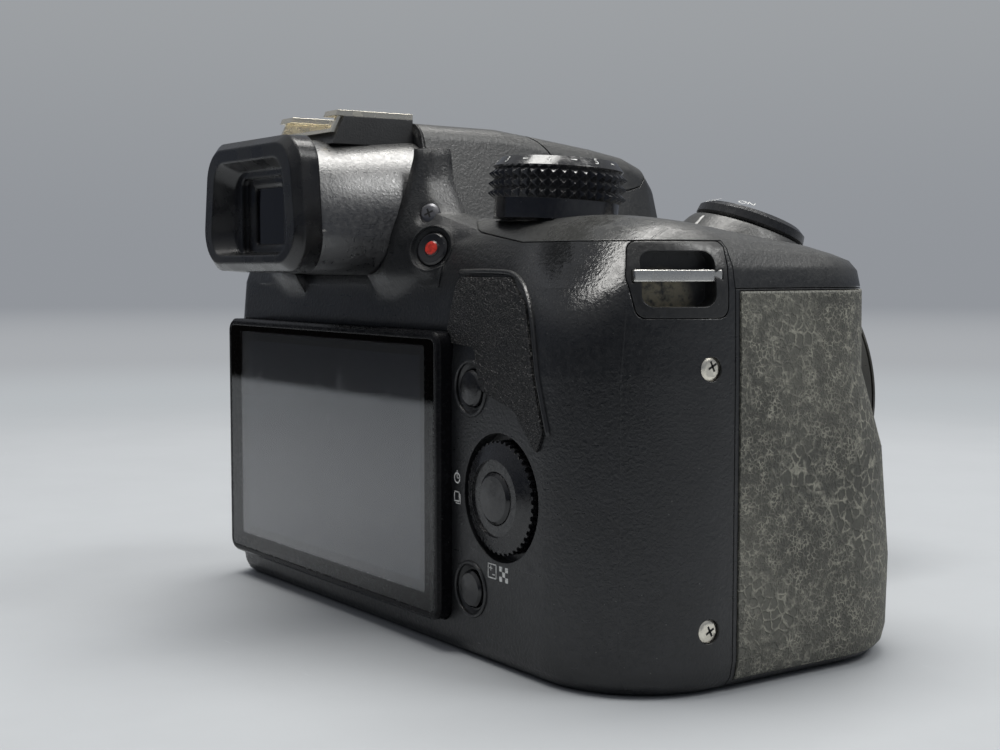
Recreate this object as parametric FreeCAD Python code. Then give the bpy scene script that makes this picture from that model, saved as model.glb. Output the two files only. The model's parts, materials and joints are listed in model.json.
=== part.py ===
import FreeCAD, Part
import math
import os
from FreeCAD import Placement, Rotation, Vector

# Mirrorless camera with an eye-level viewfinder, a pop-up flash and a short zoom lens.
# X runs to the left hand of the person who holds it, Y towards that person, Z up.
# The origin is the mouth of the tripod socket, in the base under the lens axis.
# All sizes are in millimetres.

# Overall form
body_width = 128.0
overall_height = 90.9
overall_depth = 84.5
body_left_x = 44.5
lens_axis_z = 35.5
sensor_face_y = -3.0
flange_back = 18.0
screen_face_y = 33.0
bezel_proud = 2.5
eyecup_rear_y = 48.0
body_front_y = -7.0
left_front_y = -1.0

# Walls, seams and fits
wall = 2.0
seam_gap = 0.15
seat_gap = 0.15
button_gap = 0.3
running_fit = 0.06

# Plan of the body and its grip
rear_corner_r = 20.0
left_corner_r = 8.0
rear_left_r = 5.0
nose_outer_r = 19.0
nose_inner_r = 13.0
grip_root_r = 7.0
grip_inner_x = -45.0
front_bend_x = 26.0
front_bend_r = 10.0
bottom_edge_r = 2.4
deck_level_y = 16.0

# Seams between the covers
cover_seam_y = 9.0
grip_top_z = 60.3
shoulder_seam_z = 67.3
tower_front_y = 19.5
tower_top_z = 86.6

# Derived places
body_right_x = body_left_x - body_width
rear_y = screen_face_y - bezel_proud
grip_front_y = eyecup_rear_y - overall_depth
flange_y = sensor_face_y - flange_back
base_z = 0.0

x_axis = Vector(1, 0, 0)
y_axis = Vector(0, 1, 0)
z_axis = Vector(0, 0, 1)

os.makedirs("parts", exist_ok=True)


def save(shape, node):
    shape.exportStep("parts/" + node + ".step")


def block(x0, x1, y0, y1, z0, z1):
    return Part.makeBox(x1 - x0, y1 - y0, z1 - z0, Vector(x0, y0, z0))


def rod(radius, start, end):
    along = end - start
    return Part.makeCylinder(radius, along.Length, start, along)


def in_plan(height):
    return lambda u, v: Vector(u, v, height)


def in_rear_view(depth):
    return lambda u, v: Vector(u, depth, v)


def in_side_view(side):
    return lambda u, v: Vector(side, u, v)


def outline(corners, place):
    """Closed wire through corners (u, v, radius), each rounded by an arc tangent to both sides."""
    count = len(corners)
    starts = []
    middles = []
    ends = []
    for i in range(count):
        u, v, radius = corners[i]
        before = Vector(*corners[i - 1][:2], 0) - Vector(u, v, 0)
        after = Vector(*corners[(i + 1) % count][:2], 0) - Vector(u, v, 0)
        before.normalize()
        after.normalize()
        half_turn = (math.pi - before.getAngle(after)) / 2
        reach = radius * math.tan(half_turn)
        to_middle = radius * (1 / math.cos(half_turn) - 1)
        inwards = before + after
        inwards.normalize()
        corner = Vector(u, v, 0)
        starts.append(corner + before * reach)
        middles.append(corner + inwards * to_middle)
        ends.append(corner + after * reach)
    edges = []
    for i in range(count):
        if corners[i][2] > 0:
            points = [place(p.x, p.y) for p in (starts[i], middles[i], ends[i])]
            edges.append(Part.Arc(*points).toShape())
        line_start = place(ends[i].x, ends[i].y)
        following = starts[(i + 1) % count]
        line_end = place(following.x, following.y)
        if line_start.distanceToPoint(line_end) > 1e-4:
            edges.append(Part.LineSegment(line_start, line_end).toShape())
    return Part.Wire(edges)


def prism(corners, place, depth):
    """Solid made by pushing a rounded outline along a vector."""
    return Part.Face(outline(corners, place)).extrude(depth)


def rectangle(u0, u1, v0, v1, radius=0.0):
    return [(u0, v0, radius), (u1, v0, radius), (u1, v1, radius), (u0, v1, radius)]


def turned(profile, centre, axis):
    """Solid of revolution from (radius, distance along the axis) points."""
    points = [Vector(r, 0, h) for r, h in profile]
    face = Part.Face(Part.makePolygon(points + points[:1]))
    solid = face.revolve(Vector(0, 0, 0), z_axis, 360)
    solid.Placement = Placement(centre, Rotation(z_axis, axis))
    return solid


def polygon_prism(points, place, depth):
    corners = [place(u, v) for u, v in points]
    return Part.Face(Part.makePolygon(corners + corners[:1])).extrude(depth)


def ribbed_points(count, outer_r, groove_depth, rib_share):
    """Points of a ring of flat-topped ribs, four to a rib."""
    pitch = 2 * math.pi / count
    points = []
    for i in range(count):
        for share, radius in (
            (0.0, outer_r),
            (rib_share, outer_r),
            (rib_share + 0.12, outer_r - groove_depth),
            (0.88, outer_r - groove_depth),
        ):
            angle = (i + share) * pitch
            points.append((radius * math.cos(angle), radius * math.sin(angle)))
    return points


# Body form: plan outlines stacked from the base to the deck

# Height, inset of the sides, inset of the rear, inset of the grip's nose, forward fall of the section
body_levels = [
    (0.0, 2.9, 2.2, 4.0, 0.0),
    (0.8, 1.5, 1.1, 2.3, 0.0),
    (2.2, 0.5, 0.4, 1.0, 0.0),
    (4.6, 0.0, 0.0, 0.4, 0.0),
    (16.0, 0.0, 0.0, 0.0, 0.0),
    (34.0, 0.0, 0.0, 2.0, 0.0),
    (40.0, 0.0, 0.0, 4.4, 0.0),
    (47.0, 0.0, 0.0, 7.2, 0.0),
    (60.3, 0.2, 1.2, 7.3, 0.0),
    (63.6, 0.8, 2.4, 7.8, 0.02),
    (66.6, 2.2, 3.9, 9.0, 0.06),
    (68.8, 4.3, 6.2, 11.4, 0.10),
    (70.3, 6.9, 9.0, 14.8, 0.125),
    (71.0, 9.5, 12.0, 18.4, 0.145),
]
least_corner_r = 1.0


def body_section(level, skin):
    """Plan outline of the body at one level, moved inwards by a skin thickness."""
    height, side_in, rear_in, nose_in, fall = level
    inset = side_in + skin
    left = body_left_x - inset
    right = body_right_x + inset
    rear = rear_y - rear_in - skin
    nose = grip_front_y + nose_in + skin
    inner = grip_inner_x - inset
    front = body_front_y + inset
    corners = [
        (left, rear, max(rear_left_r - inset, least_corner_r)),
        (right, rear, max(rear_corner_r - inset, least_corner_r)),
        (right, nose, max(nose_outer_r - inset, least_corner_r)),
        (inner, nose, max(nose_inner_r - inset, least_corner_r)),
        (inner, front, grip_root_r + inset),
        (front_bend_x, front, front_bend_r),
        (left, left_front_y + inset, max(left_corner_r - inset, least_corner_r)),
    ]
    return outline(corners, lambda u, v: Vector(u, v, height + fall * (v - deck_level_y)))


def body_form(skin, levels=body_levels):
    """Solid through the body's plan outlines, all moved inwards by a skin thickness."""
    return Part.makeLoft([body_section(level, skin) for level in levels], True, True)


# Hump over the lens, with the flash in its top

# Place along the camera, crest height, half width of crest, half width at the foot, foot height, sweep beyond it
hump_levels = [
    (34.0, 89.6, 12.5, 20.0, 67.5, 14.0),
    (2.0, 89.2, 12.6, 20.0, 67.0, 14.0),
    (-8.0, 88.0, 13.0, 20.0, 66.0, 1.0),
    (-20.0, 86.5, 13.2, 19.2, 66.0, 1.0),
    (-28.0, 85.2, 13.0, 17.8, 67.0, 1.0),
    (-32.6, 83.6, 12.4, 16.4, 68.0, 1.0),
    (-35.6, 81.0, 11.0, 14.8, 69.0, 1.0),
    (-37.3, 77.4, 8.6, 12.0, 70.0, 1.0),
]
hump_crest_r = 4.5
hump_foot_r = 9.0
hump_sill_z = 60.0
hump_lean = 0.2
hump_lean_z = 55.0
lens_clear_r = 33.4


def hump_section(level, skin):
    place_y, crest, crest_half, foot_half, foot, sweep = level
    wing = foot_half + sweep
    half = [
        (wing - skin, hump_sill_z, 0.0),
        (wing - skin, foot - 1.5, 0.0),
        (foot_half - skin, foot, min(hump_foot_r, sweep)),
        (crest_half - skin, crest - skin, hump_crest_r),
    ]
    mirrored = [(-u, v, radius) for u, v, radius in reversed(half)]
    return outline(half + mirrored, in_rear_view(place_y))


def hump_form(skin, levels=hump_levels):
    return Part.makeLoft([hump_section(level, skin) for level in levels], True, True)


def behind_lean(reach=40.0):
    """Everything behind the leaning rear face above the screen, and above the tower."""
    top = overall_height + 20
    lean_top = rear_y - hump_lean * (top - hump_lean_z)
    side = [(rear_y, hump_lean_z), (lean_top, top), (rear_y + reach, top), (rear_y + reach, hump_lean_z)]
    over_tower = block(-60, 60, tower_front_y + 0.4, 80, tower_top_z, 120)
    return polygon_prism(side, in_side_view(-60.0), x_axis * 120).fuse(over_tower)


# Boss round the lens mount
boss_r = 34.3
boss_front_y = flange_y + 1.4
boss_shoulder_half = 22.0
throat_r = 23.05
throat_wall_r = 24.2


def boss_form():
    axis_point = Vector(0, body_front_y + 6, lens_axis_z)
    front_point = Vector(0, boss_front_y, lens_axis_z)
    ring = rod(boss_r, axis_point, front_point)
    shoulder = [
        (-boss_shoulder_half, 72.0),
        (boss_shoulder_half, 72.0),
        (boss_r - 0.4, lens_axis_z + 6),
        (-boss_r + 0.4, lens_axis_z + 6),
    ]
    depth = axis_point.y - boss_front_y
    cheek = polygon_prism(shoulder, in_rear_view(boss_front_y), y_axis * depth)
    return ring.fuse(cheek)


foot_half = 13.0
foot_front_y = -14.0
foot_rear_y = 1.0
foot_top_z = 5.0


def foot_shape(inset, z0, z1):
    """Flat pad under the boss, round the tripod socket."""
    half = foot_half - inset
    corners = rectangle(-half, half, foot_front_y + inset, foot_rear_y, 3.0)
    return prism(corners, in_plan(z0), z_axis * (z1 - z0))


def whole_form():
    """The closed outer form of the camera body."""
    hump = hump_form(0.0).cut(behind_lean())
    lens_space = rod(lens_clear_r, Vector(0, boss_front_y, lens_axis_z), Vector(0, -60, lens_axis_z))
    under_nose = block(-50, 50, -60, boss_front_y, 0, lens_axis_z + lens_clear_r + 0.6)
    hump = hump.cut([lens_space, under_nose])
    form = body_form(0.0).fuse([hump, boss_form(), foot_shape(0.0, base_z, foot_top_z)])
    return form.removeSplitter()


# Space inside the covers
chamber_top_z = 62.0
chamber_levels = [
    (-1.0, 2.9, 2.2, 4.0, 0.0),
    (4.6, 0.0, 0.0, 0.4, 0.0),
    (16.0, 0.0, 0.0, 0.2, 0.0),
    (34.0, 0.0, 0.0, 2.0, 0.0),
    (47.0, 0.0, 0.0, 7.2, 0.0),
    (chamber_top_z, 1.4, 2.8, 8.6, 0.0),
]
hump_chamber_levels = [
    (18.0, 87.0, 12.0, 18.5, 66.0, 1.0),
    (6.0, 87.0, 12.0, 18.5, 66.0, 1.0),
]


def chamber():
    """The space inside the front, rear and top covers."""
    lower = body_form(wall, chamber_levels)
    deck_room = block(-66, 30, 2, 21, chamber_top_z - 1, 67.0)
    return lower.fuse(deck_room)


# Seams of the covers: the top cover reaches down the flanks of the tower behind the hump
tower_seam = [
    (21.0, 100.0),
    (22.9, 83.6),
    (23.8, 78.4),
    (27.6, 72.8),
    (40.0, 69.1),
    (54.0, shoulder_seam_z),
    (90.0, shoulder_seam_z),
]


def top_region(gap):
    """Everything above the seams of the top cover, lowered by a gap."""
    over_grip = block(-100, 100, -100, cover_seam_y + gap, grip_top_z - gap, 120)
    over_body = block(-100, 100, 0, tower_front_y + gap, shoulder_seam_z - gap, 120)
    region = over_grip.fuse(over_body)
    for side in (-1, 1):
        flank = [(side * (u - gap), v - gap) for u, v in tower_seam] + [(side * 90.0, 120.0), (side * 21.0, 120.0)]
        region = region.fuse(polygon_prism(flank, in_rear_view(tower_front_y - 2), y_axis * 60))
    return region


# Screen on the rear
screen_x = 1.15
screen_z = 28.95
bezel_width = 81.1
bezel_height = 47.9
bezel_corner_r = 2.6
bezel_seat_depth = 1.2
bezel_rim = 1.3
glass_thickness = 1.2
panel_width = 70.6
panel_height = 41.2
panel_thickness = 4.0
panel_z = 29.8


def screen_plate(width, height, radius, y0, y1, centre_z=screen_z):
    u = width / 2
    v = height / 2
    corners = rectangle(screen_x - u, screen_x + u, centre_z - v, centre_z + v, radius)
    return prism(corners, in_rear_view(y0), y_axis * (y1 - y0))


glass_back_y = screen_face_y - glass_thickness
bezel_back_y = rear_y - bezel_seat_depth
panel_front_y = glass_back_y - seat_gap
panel_back_y = panel_front_y - panel_thickness


def make_screen_bezel():
    frame = screen_plate(bezel_width, bezel_height, bezel_corner_r, bezel_back_y, screen_face_y)
    front_edges = [e for e in frame.Edges if e.BoundBox.YMin > screen_face_y - 0.01]
    frame = frame.makeChamfer(0.5, front_edges)
    glass_seat = screen_plate(
        bezel_width - 2 * bezel_rim, bezel_height - 2 * bezel_rim, bezel_corner_r - bezel_rim, glass_back_y, 40
    )
    window = screen_plate(panel_width + 2 * seat_gap, panel_height + 2 * seat_gap, 0.6, 20, 40, panel_z)
    return frame.cut([glass_seat, window])


def make_screen_glass():
    inset = 2 * (bezel_rim + seat_gap / 2)
    return screen_plate(
        bezel_width - inset, bezel_height - inset, bezel_corner_r - bezel_rim - seat_gap / 2, glass_back_y, screen_face_y
    )


def make_display_panel():
    return screen_plate(panel_width, panel_height, 0.5, panel_back_y, panel_front_y, panel_z)


# Viewfinder housing, eyecup and what they hold
housing_rear_y = 43.0
housing_front_y = 20.2
# Place along the camera, half width below, half width above, underside, top
housing_levels = [
    (housing_front_y, 22.0, 20.0, 61.6, 86.9),
    (28.0, 21.0, 19.0, 61.9, 86.5),
    (36.0, 19.8, 17.8, 62.4, 86.1),
    (housing_rear_y, 18.9, 16.9, 62.9, 85.6),
]
housing_corner_r = 5.5
housing_wall = 1.8
finder_window_z = 72.5
finder_window_width = 11.2
finder_window_height = 10.0
eyecup_levels = [
    (housing_rear_y, 19.6, 17.4, 62.4, 86.0),
    (46.6, 20.4, 17.8, 62.7, 85.9),
    (eyecup_rear_y, 19.2, 16.4, 64.0, 84.6),
]
eyecup_recess_levels = [
    (eyecup_rear_y + 0.4, 16.6, 14.0, 65.4, 82.4),
    (45.0, 12.4, 10.8, 65.8, 80.6),
]
eyecup_frame_half = 8.4
eyecup_frame_z = (65.9, 79.3)
eyepiece_face_y = 43.2


def tapered_section(level, radius, skin=0.0):
    place_y, low_half, high_half, low, high = level
    corners = [
        (-low_half + skin, low + skin, radius),
        (low_half - skin, low + skin, radius),
        (high_half - skin, high - skin, radius),
        (-high_half + skin, high - skin, radius),
    ]
    return outline(corners, in_rear_view(place_y))


def tapered_form(levels, radius, skin=0.0):
    return Part.makeLoft([tapered_section(level, radius, skin) for level in levels], True, True)


def finder_window(gap, y0, y1):
    u = finder_window_width / 2 + gap
    v = finder_window_height / 2 + gap
    corners = rectangle(-u, u, finder_window_z - v, finder_window_z + v, 0.6)
    return prism(corners, in_rear_view(y0), y_axis * (y1 - y0))


finder_unit_half = 13.0
finder_unit_z = (64.8, 80.4)
finder_unit_y = (22.0, 41.0)
finder_unit = block(-finder_unit_half, finder_unit_half, *finder_unit_y, *finder_unit_z)


def make_viewfinder_housing():
    outer = tapered_form(housing_levels, housing_corner_r)
    inside = block(-finder_unit_half - 1.0, finder_unit_half + 1.0, 0, finder_unit_y[1] + 0.4, 64.0, 82.5)
    window = finder_window(seat_gap, 30, 60)
    shoe_seat = block(-shoe_half - seat_gap, shoe_half + seat_gap, 0, shoe_rear_y + seat_gap, shoe_base_z - seat_gap, 100)
    return outer.cut([inside, window, dioptre_seat(button_gap), shoe_seat])


def make_eyecup():
    outer = tapered_form(eyecup_levels, housing_corner_r + 0.6)
    recess = tapered_form(eyecup_recess_levels, 4.0)
    frame = prism(
        rectangle(-eyecup_frame_half, eyecup_frame_half, *eyecup_frame_z, 1.2),
        in_rear_view(43.9),
        y_axis * 3,
    )
    window = finder_window(0.0, 40, 60)
    bevel = Part.makeLoft(
        [
            outline(rectangle(-5.6, 5.6, 67.5, 77.5, 0.5), in_rear_view(43.6)),
            outline(rectangle(-7.6, 7.6, 66.6, 78.5, 0.8), in_rear_view(44.0)),
        ],
        True,
        True,
    )
    return outer.cut([recess, frame, window, bevel])


def make_eyepiece_window():
    return finder_window(0.0, 41.4, eyepiece_face_y)


def make_finder_unit():
    screen_end = block(-10, 10, 18.5, finder_unit_y[0], 65.5, 79.5)
    return finder_unit.fuse(screen_end)


# Dioptre dial on the left of the viewfinder housing
dioptre_y = 33.0
dioptre_z = 76.0
dioptre_r = 4.2
dioptre_inner_x = 15.4
dioptre_outer_x = 19.6


def dioptre_seat(gap):
    start = Vector(dioptre_inner_x - gap, dioptre_y, dioptre_z)
    return rod(dioptre_r + gap, start, Vector(30, dioptre_y, dioptre_z))


def make_dioptre_dial():
    points = ribbed_points(20, dioptre_r, 0.3, 0.38)
    place = lambda u, v: Vector(dioptre_inner_x, dioptre_y + u, dioptre_z + v)
    return polygon_prism(points, place, x_axis * (dioptre_outer_x - dioptre_inner_x))


# Hot shoe on the tower
shoe_front_y = 20.2
shoe_rear_y = 36.6
shoe_half = 10.8
shoe_base_z = 85.0
shoe_floor_z = 87.7
shoe_floor_thickness = 0.7
shoe_slot_half = 9.4
shoe_lip_half = 6.3
shoe_lip_thickness = 1.0
shoe_slant = 2.4


def shoe_prism(x0, x1, z0, z1, shorten=0.0):
    rear = shoe_rear_y - shorten
    side = [(shoe_front_y, z0), (rear, z0), (rear - shoe_slant * (z1 - z0) / 5, z1), (shoe_front_y, z1)]
    return polygon_prism(side, in_side_view(x0), x_axis * (x1 - x0))


def make_shoe_block():
    body = shoe_prism(-shoe_half, shoe_half, shoe_base_z, overall_height - shoe_lip_thickness)
    channel_half = shoe_slot_half + shoe_floor_thickness + 0.02
    channel = block(-channel_half, channel_half, 0, 60, shoe_floor_z - shoe_floor_thickness, 95)
    return body.cut(channel)


def make_shoe_rails():
    base = shoe_floor_z - shoe_floor_thickness
    lip_base = overall_height - shoe_lip_thickness
    floor = shoe_prism(-shoe_slot_half - shoe_floor_thickness, shoe_slot_half + shoe_floor_thickness, base, shoe_floor_z)
    pieces = []
    for side in (-1, 1):
        wall_inner = side * shoe_slot_half
        wall_outer = side * (shoe_slot_half + shoe_floor_thickness)
        upright = shoe_prism(min(wall_inner, wall_outer), max(wall_inner, wall_outer), base, overall_height)
        lip_inner = side * shoe_lip_half
        lip_outer = side * shoe_half
        lip = shoe_prism(min(lip_inner, lip_outer), max(lip_inner, lip_outer), lip_base, overall_height, 0.6)
        pieces += [upright, lip]
    return floor.fuse(pieces)


# Flash head, hinged behind its rear seam
flash_hinge_y = 2.0
flash_hinge_z = 78.0
flash_rear_r = 12.5
flash_pin_r = 0.9
flash_seam_z = 78.6
flash_nose_y = -33.4
flash_well_half = 11.4
flash_well_floor_z = 71.4
flash_arm_floor_z = 66.2
flash_hub_room_r = 8.4
flash_arm_x = 9.6
flash_arm_width = 2.2
flash_opening_deg = 50.0


def flash_side_profile(gap):
    """Side outline of the flash head: an arc about its hinge behind, a rounded nose in front."""
    points = []
    radius = flash_rear_r - gap
    for step in range(7):
        angle = math.radians(112 + step * 10.5)
        points.append((flash_hinge_y + radius * math.cos(angle), flash_hinge_z + radius * math.sin(angle)))
    low = flash_seam_z - gap
    front = flash_nose_y - gap
    points += [(points[-1][0], low), (-27.0, low), (-30.6, low + 0.9), (-32.6, low + 2.8), (front, low + 5.4)]
    points += [(front, 95.0), (points[0][0], 95.0)]
    return points


def flash_region(gap):
    return polygon_prism(flash_side_profile(gap), in_side_view(-40), x_axis * 80)


def flash_well():
    """Room in the hump for the flash head's lamp box, its arms and its hinge."""
    half = flash_well_half
    lamp_room = block(-lamp_room_half, lamp_room_half, -31.0, -8.0, flash_well_floor_z, 90)
    hub = rod(flash_hub_room_r, Vector(-half, flash_hinge_y, flash_hinge_z), Vector(half, flash_hinge_y, flash_hinge_z))
    arm_room = block(-half, half, -15.5, flash_hinge_y + 4, flash_arm_floor_z, flash_seam_z)
    return lamp_room.fuse([hub, arm_room])


lamp_room_half = 12.7
lamp_front_y = -29.6
lamp_rear_y = -14.0
lamp_half = 12.3
flash_window_half = 10.6
lamp_floor_z = 73.0
flash_window_thickness = 1.2


def make_flash_head(hump):
    cap = hump.common(flash_region(0.0))
    hollow = hump_form(1.8).common(block(-lamp_half, lamp_half, lamp_front_y - 1.0, -9.5, 60, 95))
    cap = cap.cut(hollow)
    lamp_box = block(-lamp_half, lamp_half, lamp_front_y, lamp_rear_y, lamp_floor_z, 82.5)
    half = flash_window_half + 0.1
    window_seat = block(-half, half, -40, lamp_front_y + flash_window_thickness, lamp_floor_z + 1.2, 81.0)
    lamp_box = lamp_box.cut(window_seat)
    arms = []
    for side in (-1, 1):
        x0 = side * flash_arm_x - flash_arm_width / 2
        arm = [
            (flash_hinge_y + 2.6, flash_hinge_z),
            (flash_hinge_y, flash_hinge_z + 2.6),
            (flash_hinge_y - 2.6, flash_hinge_z),
            (flash_hinge_y - 5.8, flash_hinge_z - 6.6),
            (flash_hinge_y - 8.9, flash_hinge_z - 9.7),
            (flash_hinge_y - 11.2, flash_hinge_z - 6.9),
            (flash_hinge_y - 12.6, flash_hinge_z - 3.9),
            (lamp_rear_y - 1.0, 76.0),
            (lamp_rear_y - 1.0, lamp_floor_z),
            (flash_hinge_y - 11.5, flash_hinge_z - 10.9),
            (flash_hinge_y - 6.5, flash_hinge_z - 11.2),
            (flash_hinge_y - 2.0, flash_hinge_z - 8.2),
            (flash_hinge_y + 1.6, flash_hinge_z - 2.2),
        ]
        arms.append(polygon_prism(arm, in_side_view(x0), x_axis * flash_arm_width))
    head = cap.fuse([lamp_box] + arms)
    return head.cut(flash_pin(running_fit))


def flash_pin(gap):
    half = flash_well_half + 2.0 + gap
    return rod(flash_pin_r + gap, Vector(-half, flash_hinge_y, flash_hinge_z), Vector(half, flash_hinge_y, flash_hinge_z))


def make_flash_window():
    return block(
        -flash_window_half,
        flash_window_half,
        lamp_front_y,
        lamp_front_y + flash_window_thickness - 0.05,
        lamp_floor_z + 1.3,
        80.9,
    )


# Dials and buttons on the top cover
def tilted(axis_point, normal):
    """Placement that stands a local +Z on a point along a normal."""
    return Placement(axis_point, Rotation(z_axis, normal))


def leaning(angle_deg):
    """Unit normal that leans forwards and towards the grip by an angle."""
    lean = math.sin(math.radians(angle_deg))
    direction = Vector(-0.35, -0.94, 0)
    direction.normalize()
    return direction * lean + z_axis * math.cos(math.radians(angle_deg))


dial_centre = Vector(-47.6, 15.3, 72.0)
dial_normal = leaning(3.3)
dial_r = 11.3
dial_base_r = 10.3
dial_base_height = 2.0
dial_band_height = 4.7
dial_crown_height = 2.5
dial_crown_r = 9.4
dial_rows = 3
dial_columns = 40
dial_stud_depth = 0.95
dial_shaft_r = 3.0
dial_well_r = 10.6
dial_well_depth = 1.6


def pyramid_band(rows, columns, root_r, tip_r, height):
    """Band of square pyramids round an axis: root corners on a prism, one tip over each cell."""
    faces = []
    row_height = height / rows
    pitch = 2 * math.pi / columns

    def root(column, row):
        angle = column * pitch
        return Vector(root_r * math.cos(angle), root_r * math.sin(angle), row * row_height)

    for row in range(rows):
        for column in range(columns):
            angle = (column + 0.5) * pitch
            tip = Vector(tip_r * math.cos(angle), tip_r * math.sin(angle), (row + 0.5) * row_height)
            cell = [root(column, row), root(column + 1, row), root(column + 1, row + 1), root(column, row + 1)]
            for i in range(4):
                corners = [cell[i], cell[(i + 1) % 4], tip]
                faces.append(Part.Face(Part.makePolygon(corners + corners[:1])))
    for level in (0, rows):
        ring = [root(column, level) for column in range(columns)]
        faces.append(Part.Face(Part.makePolygon(ring + ring[:1])))
    return Part.makeSolid(Part.makeShell(faces))


def make_mode_dial():
    band_base = dial_base_height
    root_r = dial_r - dial_stud_depth
    band = pyramid_band(dial_rows, dial_columns, root_r, dial_r, dial_band_height)
    band.translate(z_axis * band_base)
    crown_base = band_base + dial_band_height
    crown = turned(
        [
            (0, crown_base),
            (root_r - 0.1, crown_base),
            (root_r + 0.3, crown_base + 0.5),
            (dial_crown_r, crown_base + dial_crown_height),
            (0, crown_base + dial_crown_height),
        ],
        Vector(0, 0, 0),
        z_axis,
    )
    base = turned(
        [(0, -1.2), (dial_base_r - 0.15, -1.2), (dial_base_r - 0.15, band_base), (0, band_base)],
        Vector(0, 0, 0),
        z_axis,
    )
    shaft = Part.makeCylinder(dial_shaft_r, 5.0, Vector(0, 0, -5.2))
    dial = band.fuse([crown, base, shaft])
    dial.Placement = tilted(dial_centre, dial_normal)
    return dial


def dial_hole():
    well = Part.makeCylinder(dial_well_r, 8, Vector(0, 0, -dial_well_depth))
    shaft = Part.makeCylinder(dial_shaft_r + running_fit, 20, Vector(0, 0, -14))
    hole = well.fuse(shaft)
    hole.Placement = tilted(dial_centre, dial_normal)
    return hole


collar_centre = Vector(-62.9, -13.4, 69.9)
collar_normal = leaning(20.0)
collar_top_r = 9.5
collar_foot_r = 14.0
collar_height = 8.0
power_ring_r = 9.2
power_ring_bore_r = 6.0
power_ring_height = 2.0
power_tab_reach = 11.2
shutter_r = 5.6
shutter_travel = 1.0
power_throw_deg = 32.0


def make_collar():
    collar = turned(
        [(0, -collar_height), (collar_foot_r, -collar_height), (collar_top_r + 0.6, -1.6), (collar_top_r, -0.9), (0, -0.9)],
        Vector(0, 0, 0),
        z_axis,
    )
    collar.Placement = tilted(collar_centre, collar_normal)
    return collar


def collar_hole():
    hole = Part.makeCylinder(shutter_r, 20, Vector(0, 0, -12))
    hole.Placement = tilted(collar_centre, collar_normal)
    return hole


def make_power_ring():
    ring = turned(
        [
            (power_ring_bore_r, -0.75),
            (power_ring_r - 0.5, -0.75),
            (power_ring_r, -0.2),
            (power_ring_r - 0.2, power_ring_height - 0.9),
            (power_ring_r - 1.2, power_ring_height - 0.2),
            (power_ring_bore_r + 0.8, power_ring_height - 0.5),
            (power_ring_bore_r, power_ring_height - 1.0),
        ],
        Vector(0, 0, 0),
        z_axis,
    )
    tab = prism(
        [(power_ring_r - 1.6, -2.6, 0.4), (power_tab_reach, -1.2, 1.0), (power_tab_reach, 1.2, 1.0), (power_ring_r - 1.6, 2.6, 0.4)],
        in_plan(-0.4),
        z_axis * 1.2,
    )
    ring = ring.fuse(tab)
    spin = Rotation(z_axis, -70)
    ring.Placement = tilted(collar_centre, collar_normal).multiply(Placement(Vector(0, 0, 0), spin))
    return ring


def make_shutter_button():
    button = turned(
        [
            (0, -3.4),
            (shutter_r - 0.1, -3.4),
            (shutter_r - 0.1, 0.9),
            (shutter_r - 1.0, 1.5),
            (2.6, 1.35),
            (0, 1.2),
        ],
        Vector(0, 0, 0),
        z_axis,
    )
    button.Placement = tilted(collar_centre, collar_normal)
    return button


top_button_r = 3.0
top_button_travel = 0.7
finder_button_at = Vector(-30.5, 5.0, 69.5)
deck_normal = leaning(7.0)


def top_button(centre, gap, low):
    button = turned(
        [(0, low), (top_button_r + gap, low), (top_button_r + gap, 0.5), (top_button_r + gap - 0.5, 0.8), (0, 0.9)],
        Vector(0, 0, 0),
        z_axis,
    )
    button.Placement = tilted(centre, deck_normal)
    return button


def top_button_hole(centre):
    hole = Part.makeCylinder(top_button_r + button_gap / 2, 20, Vector(0, 0, -8))
    hole.Placement = tilted(centre, deck_normal)
    return hole


flash_button_y = -9.0
flash_button_z = 74.0
flash_button_r = 2.6
flash_button_x = (14.9, 19.2)
flash_button_travel = 0.7


# Controls on the rear cover
wheel_x = -53.6
wheel_z = 27.3
wheel_r = 9.0
wheel_rib_count = 44
wheel_seat_r = 10.2
wheel_seat_y = rear_y - 2.4
wheel_face_y = rear_y + 1.3
wheel_flat_r = 6.1
centre_button_r = 4.1
centre_button_travel = 0.5
key_x = -45.2
upper_key_z = 44.0
lower_key_z = 11.4
key_r = 3.0
key_ring_r = 4.65
key_travel = 0.5
key_floor_y = rear_y - 3.2


def rear_disc(x, z, radius, y0, y1):
    return rod(radius, Vector(x, y0, z), Vector(x, y1, z))


def make_control_wheel():
    place = lambda u, v: Vector(wheel_x + u, wheel_seat_y + seat_gap, wheel_z + v)
    ribs = polygon_prism(
        ribbed_points(wheel_rib_count, wheel_r, 0.35, 0.3), place, y_axis * (wheel_face_y - wheel_seat_y - seat_gap)
    )
    slope = turned(
        [(wheel_flat_r, 0.2), (wheel_r + 1, -1.2 * (wheel_r + 1 - wheel_flat_r) / 3 + 0.2), (wheel_r + 1, 5), (wheel_flat_r, 5)],
        Vector(wheel_x, wheel_face_y - 0.2, wheel_z),
        y_axis,
    )
    bore = rear_disc(wheel_x, wheel_z, centre_button_r + button_gap / 2, 0, 60)
    dish = rear_disc(wheel_x, wheel_z, wheel_flat_r, wheel_face_y - 0.35, 60)
    return ribs.cut([slope, bore, dish])


def make_centre_button():
    stem = rear_disc(wheel_x, wheel_z, centre_button_r, wheel_seat_y + seat_gap + centre_button_travel, wheel_face_y - 0.3)
    cap = turned(
        [(0, 0), (centre_button_r, 0), (centre_button_r - 0.5, 0.45), (0, 0.6)],
        Vector(wheel_x, wheel_face_y - 0.3, wheel_z),
        y_axis,
    )
    return stem.fuse(cap)


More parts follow.
